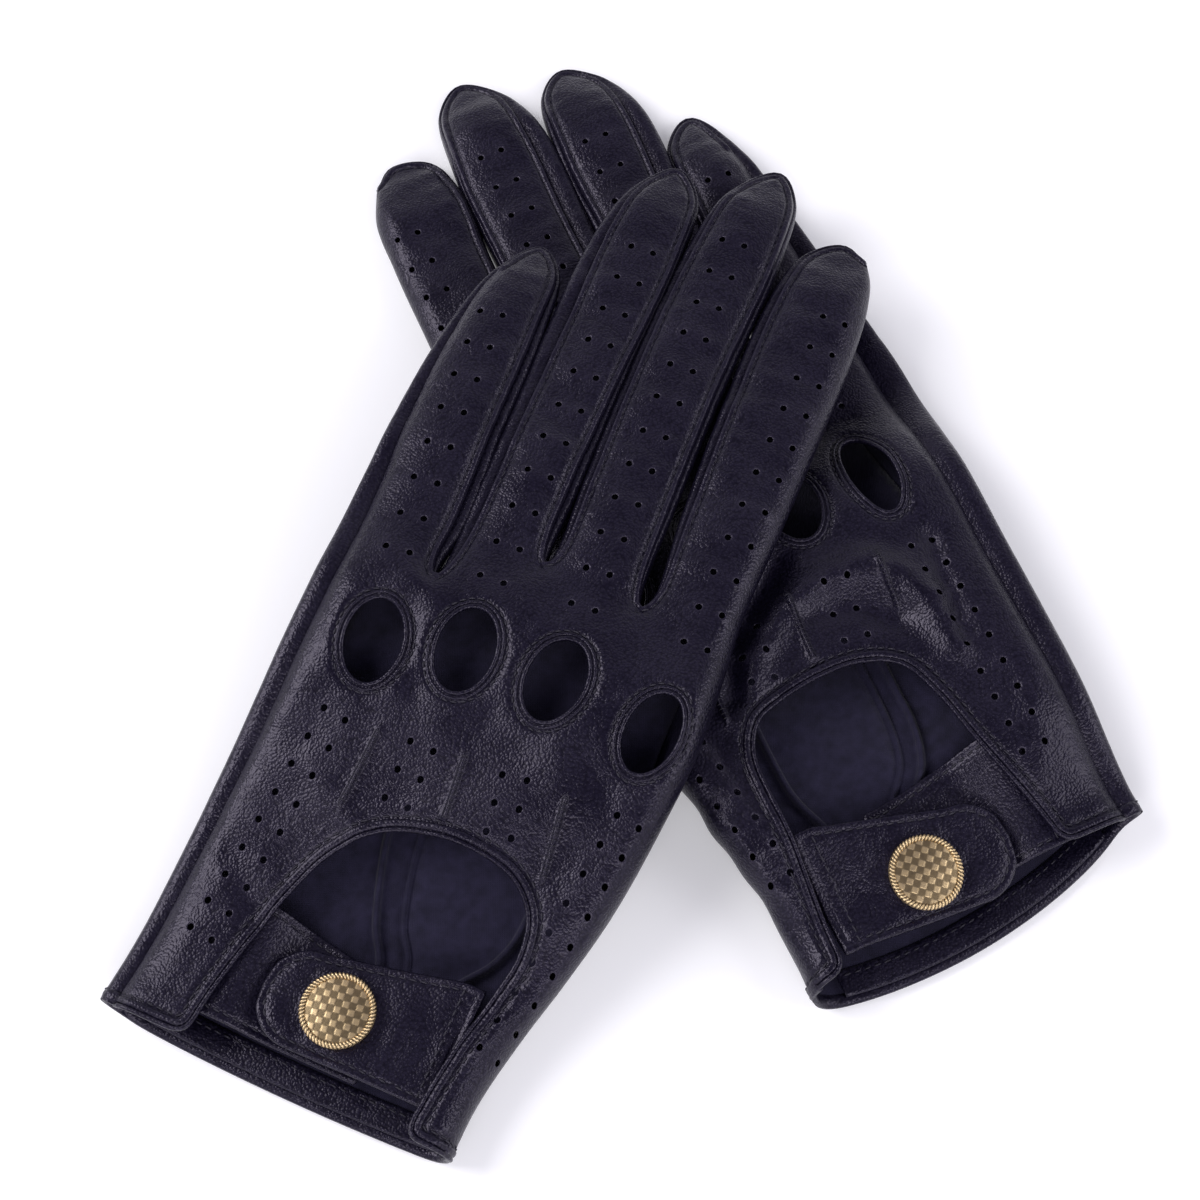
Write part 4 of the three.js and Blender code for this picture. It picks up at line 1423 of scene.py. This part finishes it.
def cotton_material():
    """Navy cotton: a fine weave with a faint nap."""
    material, tree, shader = new_material("navy_cotton")
    place = node(tree, "ShaderNodeTexCoord")
    weave = node(tree, "ShaderNodeMath", operation="MULTIPLY")
    for i, axis in enumerate("XY"):
        wave = node(tree, "ShaderNodeTexWave", Scale=900.0, Distortion=0.6, bands_direction=axis)
        link(tree, place, "Object", wave, "Vector")
        link(tree, wave, "Fac", weave, i)
    nap = node(tree, "ShaderNodeTexNoise", Scale=420.0, Detail=6.0)
    link(tree, place, "Object", nap, "Vector")
    bumps(tree, shader, [(weave, "Value", 0.5, 0.00012), (nap, "Fac", 0.5, 0.0002)])
    colour = ramp(tree, nap, "Fac", [(0.25, (0.0062, 0.0052, 0.0155)), (0.8, (0.0165, 0.014, 0.036))])
    link(tree, colour, "Color", shader, "Base Color")
    shader.inputs["Roughness"].default_value = 0.95
    shader.inputs["Specular IOR Level"].default_value = 0.2
    shader.inputs["Sheen Weight"].default_value = 0.12
    return material


def brass_material(name, patina):
    """Brass, dark in its recesses and rubbed bright on its high spots."""
    material, tree, shader = new_material(name)
    place = node(tree, "ShaderNodeTexCoord")
    wear = node(tree, "ShaderNodeTexNoise", Scale=1400.0, Detail=5.0)
    link(tree, place, "Object", wear, "Vector")
    stops = [(0.3, (0.8, 0.61, 0.36)), (0.7, (0.66, 0.49, 0.27))]
    bright = ramp(tree, wear, "Fac", stops)
    mix = node(tree, "ShaderNodeMix", data_type="RGBA")
    mix.inputs[7].default_value = (0.052, 0.036, 0.022, 1)
    tree.links.new(bright.outputs["Color"], mix.inputs[6])
    if patina:
        dark = node(tree, "ShaderNodeAttribute", attribute_name="patina")
        link(tree, dark, "Fac", mix, "Factor")
    else:
        mix.inputs["Factor"].default_value = 0.25
    tree.links.new(mix.outputs[2], shader.inputs["Base Color"])
    rough = ramp(tree, wear, "Fac", [(0.3, (0.36,) * 3), (0.75, (0.5,) * 3)])
    link(tree, rough, "Color", shader, "Roughness")
    bumps(tree, shader, [(wear, "Fac", 0.25, 0.00004)])
    shader.inputs["Metallic"].default_value = 1.0
    return material


# ---- Floor, light and camera ----


def floor_material():
    """A pale table, faintly lit from below as a product table is."""
    material, tree, shader = new_material("pale_floor")
    place = node(tree, "ShaderNodeTexCoord")
    cloud = node(tree, "ShaderNodeTexNoise", Scale=3.0, Detail=2.0)
    link(tree, place, "Object", cloud, "Vector")
    colour = ramp(tree, cloud, "Fac", [(0.3, (0.85, 0.845, 0.865)), (0.7, (0.87, 0.865, 0.885))])
    link(tree, colour, "Color", shader, "Base Color")
    shader.inputs["Roughness"].default_value = 0.7
    shader.inputs["Emission Color"].default_value = (0.99, 0.985, 1, 1)
    shader.inputs["Emission Strength"].default_value = 0.2
    shader.inputs["Specular IOR Level"].default_value = 0.2
    return material


def floor():
    """The pale table under the gloves, which isn't part of the object."""
    reach = 4.0
    corners = [(-reach, -reach, 0), (reach, -reach, 0), (reach, reach, 0), (-reach, reach, 0)]
    mesh = bpy.data.meshes.new("floor")
    mesh.from_pydata(corners, [], [(0, 1, 2, 3)])
    mesh.materials.append(floor_material())
    obj = bpy.data.objects.new("floor", mesh)
    bpy.context.scene.collection.objects.link(obj)


def lamp(name, place, size, power, colour):
    """A soft rectangular lamp that points at the gloves."""
    data = bpy.data.lights.new(name, "AREA")
    data.shape = "RECTANGLE"
    data.size, data.size_y = size
    data.energy = power
    data.color = colour
    obj = bpy.data.objects.new(name, data)
    obj.location = place
    obj.rotation_euler = (-Vector(place)).to_track_quat("-Z", "Y").to_euler()
    bpy.context.scene.collection.objects.link(obj)


def lights():
    """A low bright horizon under a dim zenith, and soft lamps at both sides and by the camera."""
    scene = bpy.context.scene
    world = bpy.data.worlds.new("studio")
    scene.world = world
    world.use_nodes = True
    tree = world.node_tree
    place = node(tree, "ShaderNodeTexCoord")
    parts = node(tree, "ShaderNodeSeparateXYZ")
    link(tree, place, "Generated", parts, "Vector")
    stops = [
        (0.0, (0.97, 0.97, 1.0)), (0.3, (0.76, 0.755, 0.85)),
        (0.66, (0.56, 0.545, 0.64)), (0.88, (0.19, 0.18, 0.235)),
    ]
    sky = ramp(tree, parts, "Z", stops)
    background = tree.nodes["Background"]
    link(tree, sky, "Color", background, "Color")
    background.inputs["Strength"].default_value = 0.8
    lamp("key", (-0.85, 0.15, 0.78), (0.7, 0.7), 10, (1, 0.995, 1))
    lamp("side", (0.95, -0.15, 0.65), (0.6, 0.6), 4, (0.98, 0.98, 1))
    lamp("front", (0.0, -1.05, 0.8), (1.2, 0.5), 8, (0.99, 0.98, 1))
    scene.view_settings.view_transform = "Standard"


def camera(gloves):
    """Looks down at the pair from the cuffs' side."""
    right = next(g for g in gloves if g.name == "right")
    target = np.append(right.origin * MM + (-0.0755, 0.0651), 0.008)
    rise = math.radians(CAMERA_ELEVATION)
    place = target + CAMERA_DISTANCE * np.array([0, -math.cos(rise), math.sin(rise)])
    data = bpy.data.cameras.new("camera")
    data.lens = CAMERA_LENS
    data.sensor_width = 36
    obj = bpy.data.objects.new("camera", data)
    obj.location = place
    obj.rotation_euler = (Vector(target) - Vector(place)).to_track_quat("-Z", "Y").to_euler()
    bpy.context.scene.collection.objects.link(obj)
    bpy.context.scene.camera = obj


def metal_parts(glove, brass):
    """The snap's pressed parts stay as the CAD made them."""
    for part in ("snap_socket", "snap_stud", "snap_eyelet"):
        obj = bpy.data.objects[f"{glove.name}_{part}"]
        for material_slot in obj.material_slots:
            material_slot.material = brass


def main():
    leather, thread = leather_material(), thread_material()
    cotton = cotton_material()
    antique, plain = brass_material("antique_brass", True), brass_material("plain_brass", False)
    gloves = [Glove(RIGHT), Glove(LEFT)]
    camera(gloves)
    for glove in gloves:
        hand_and_fingers(glove, (leather, cotton))
        seam_stitches(glove, thread)
        hole_trims(glove, leather, thread)
        point_stitches(glove, thread)
        opening_trims(glove, leather, thread)
        cuff_trims(glove, leather, thread)
        straps(glove, leather, thread)
        snap_cap(glove, antique)
        palm_lining(glove, cotton, thread)
        thumb(glove, leather, thread)
        metal_parts(glove, plain)
    floor()
    lights()


main()
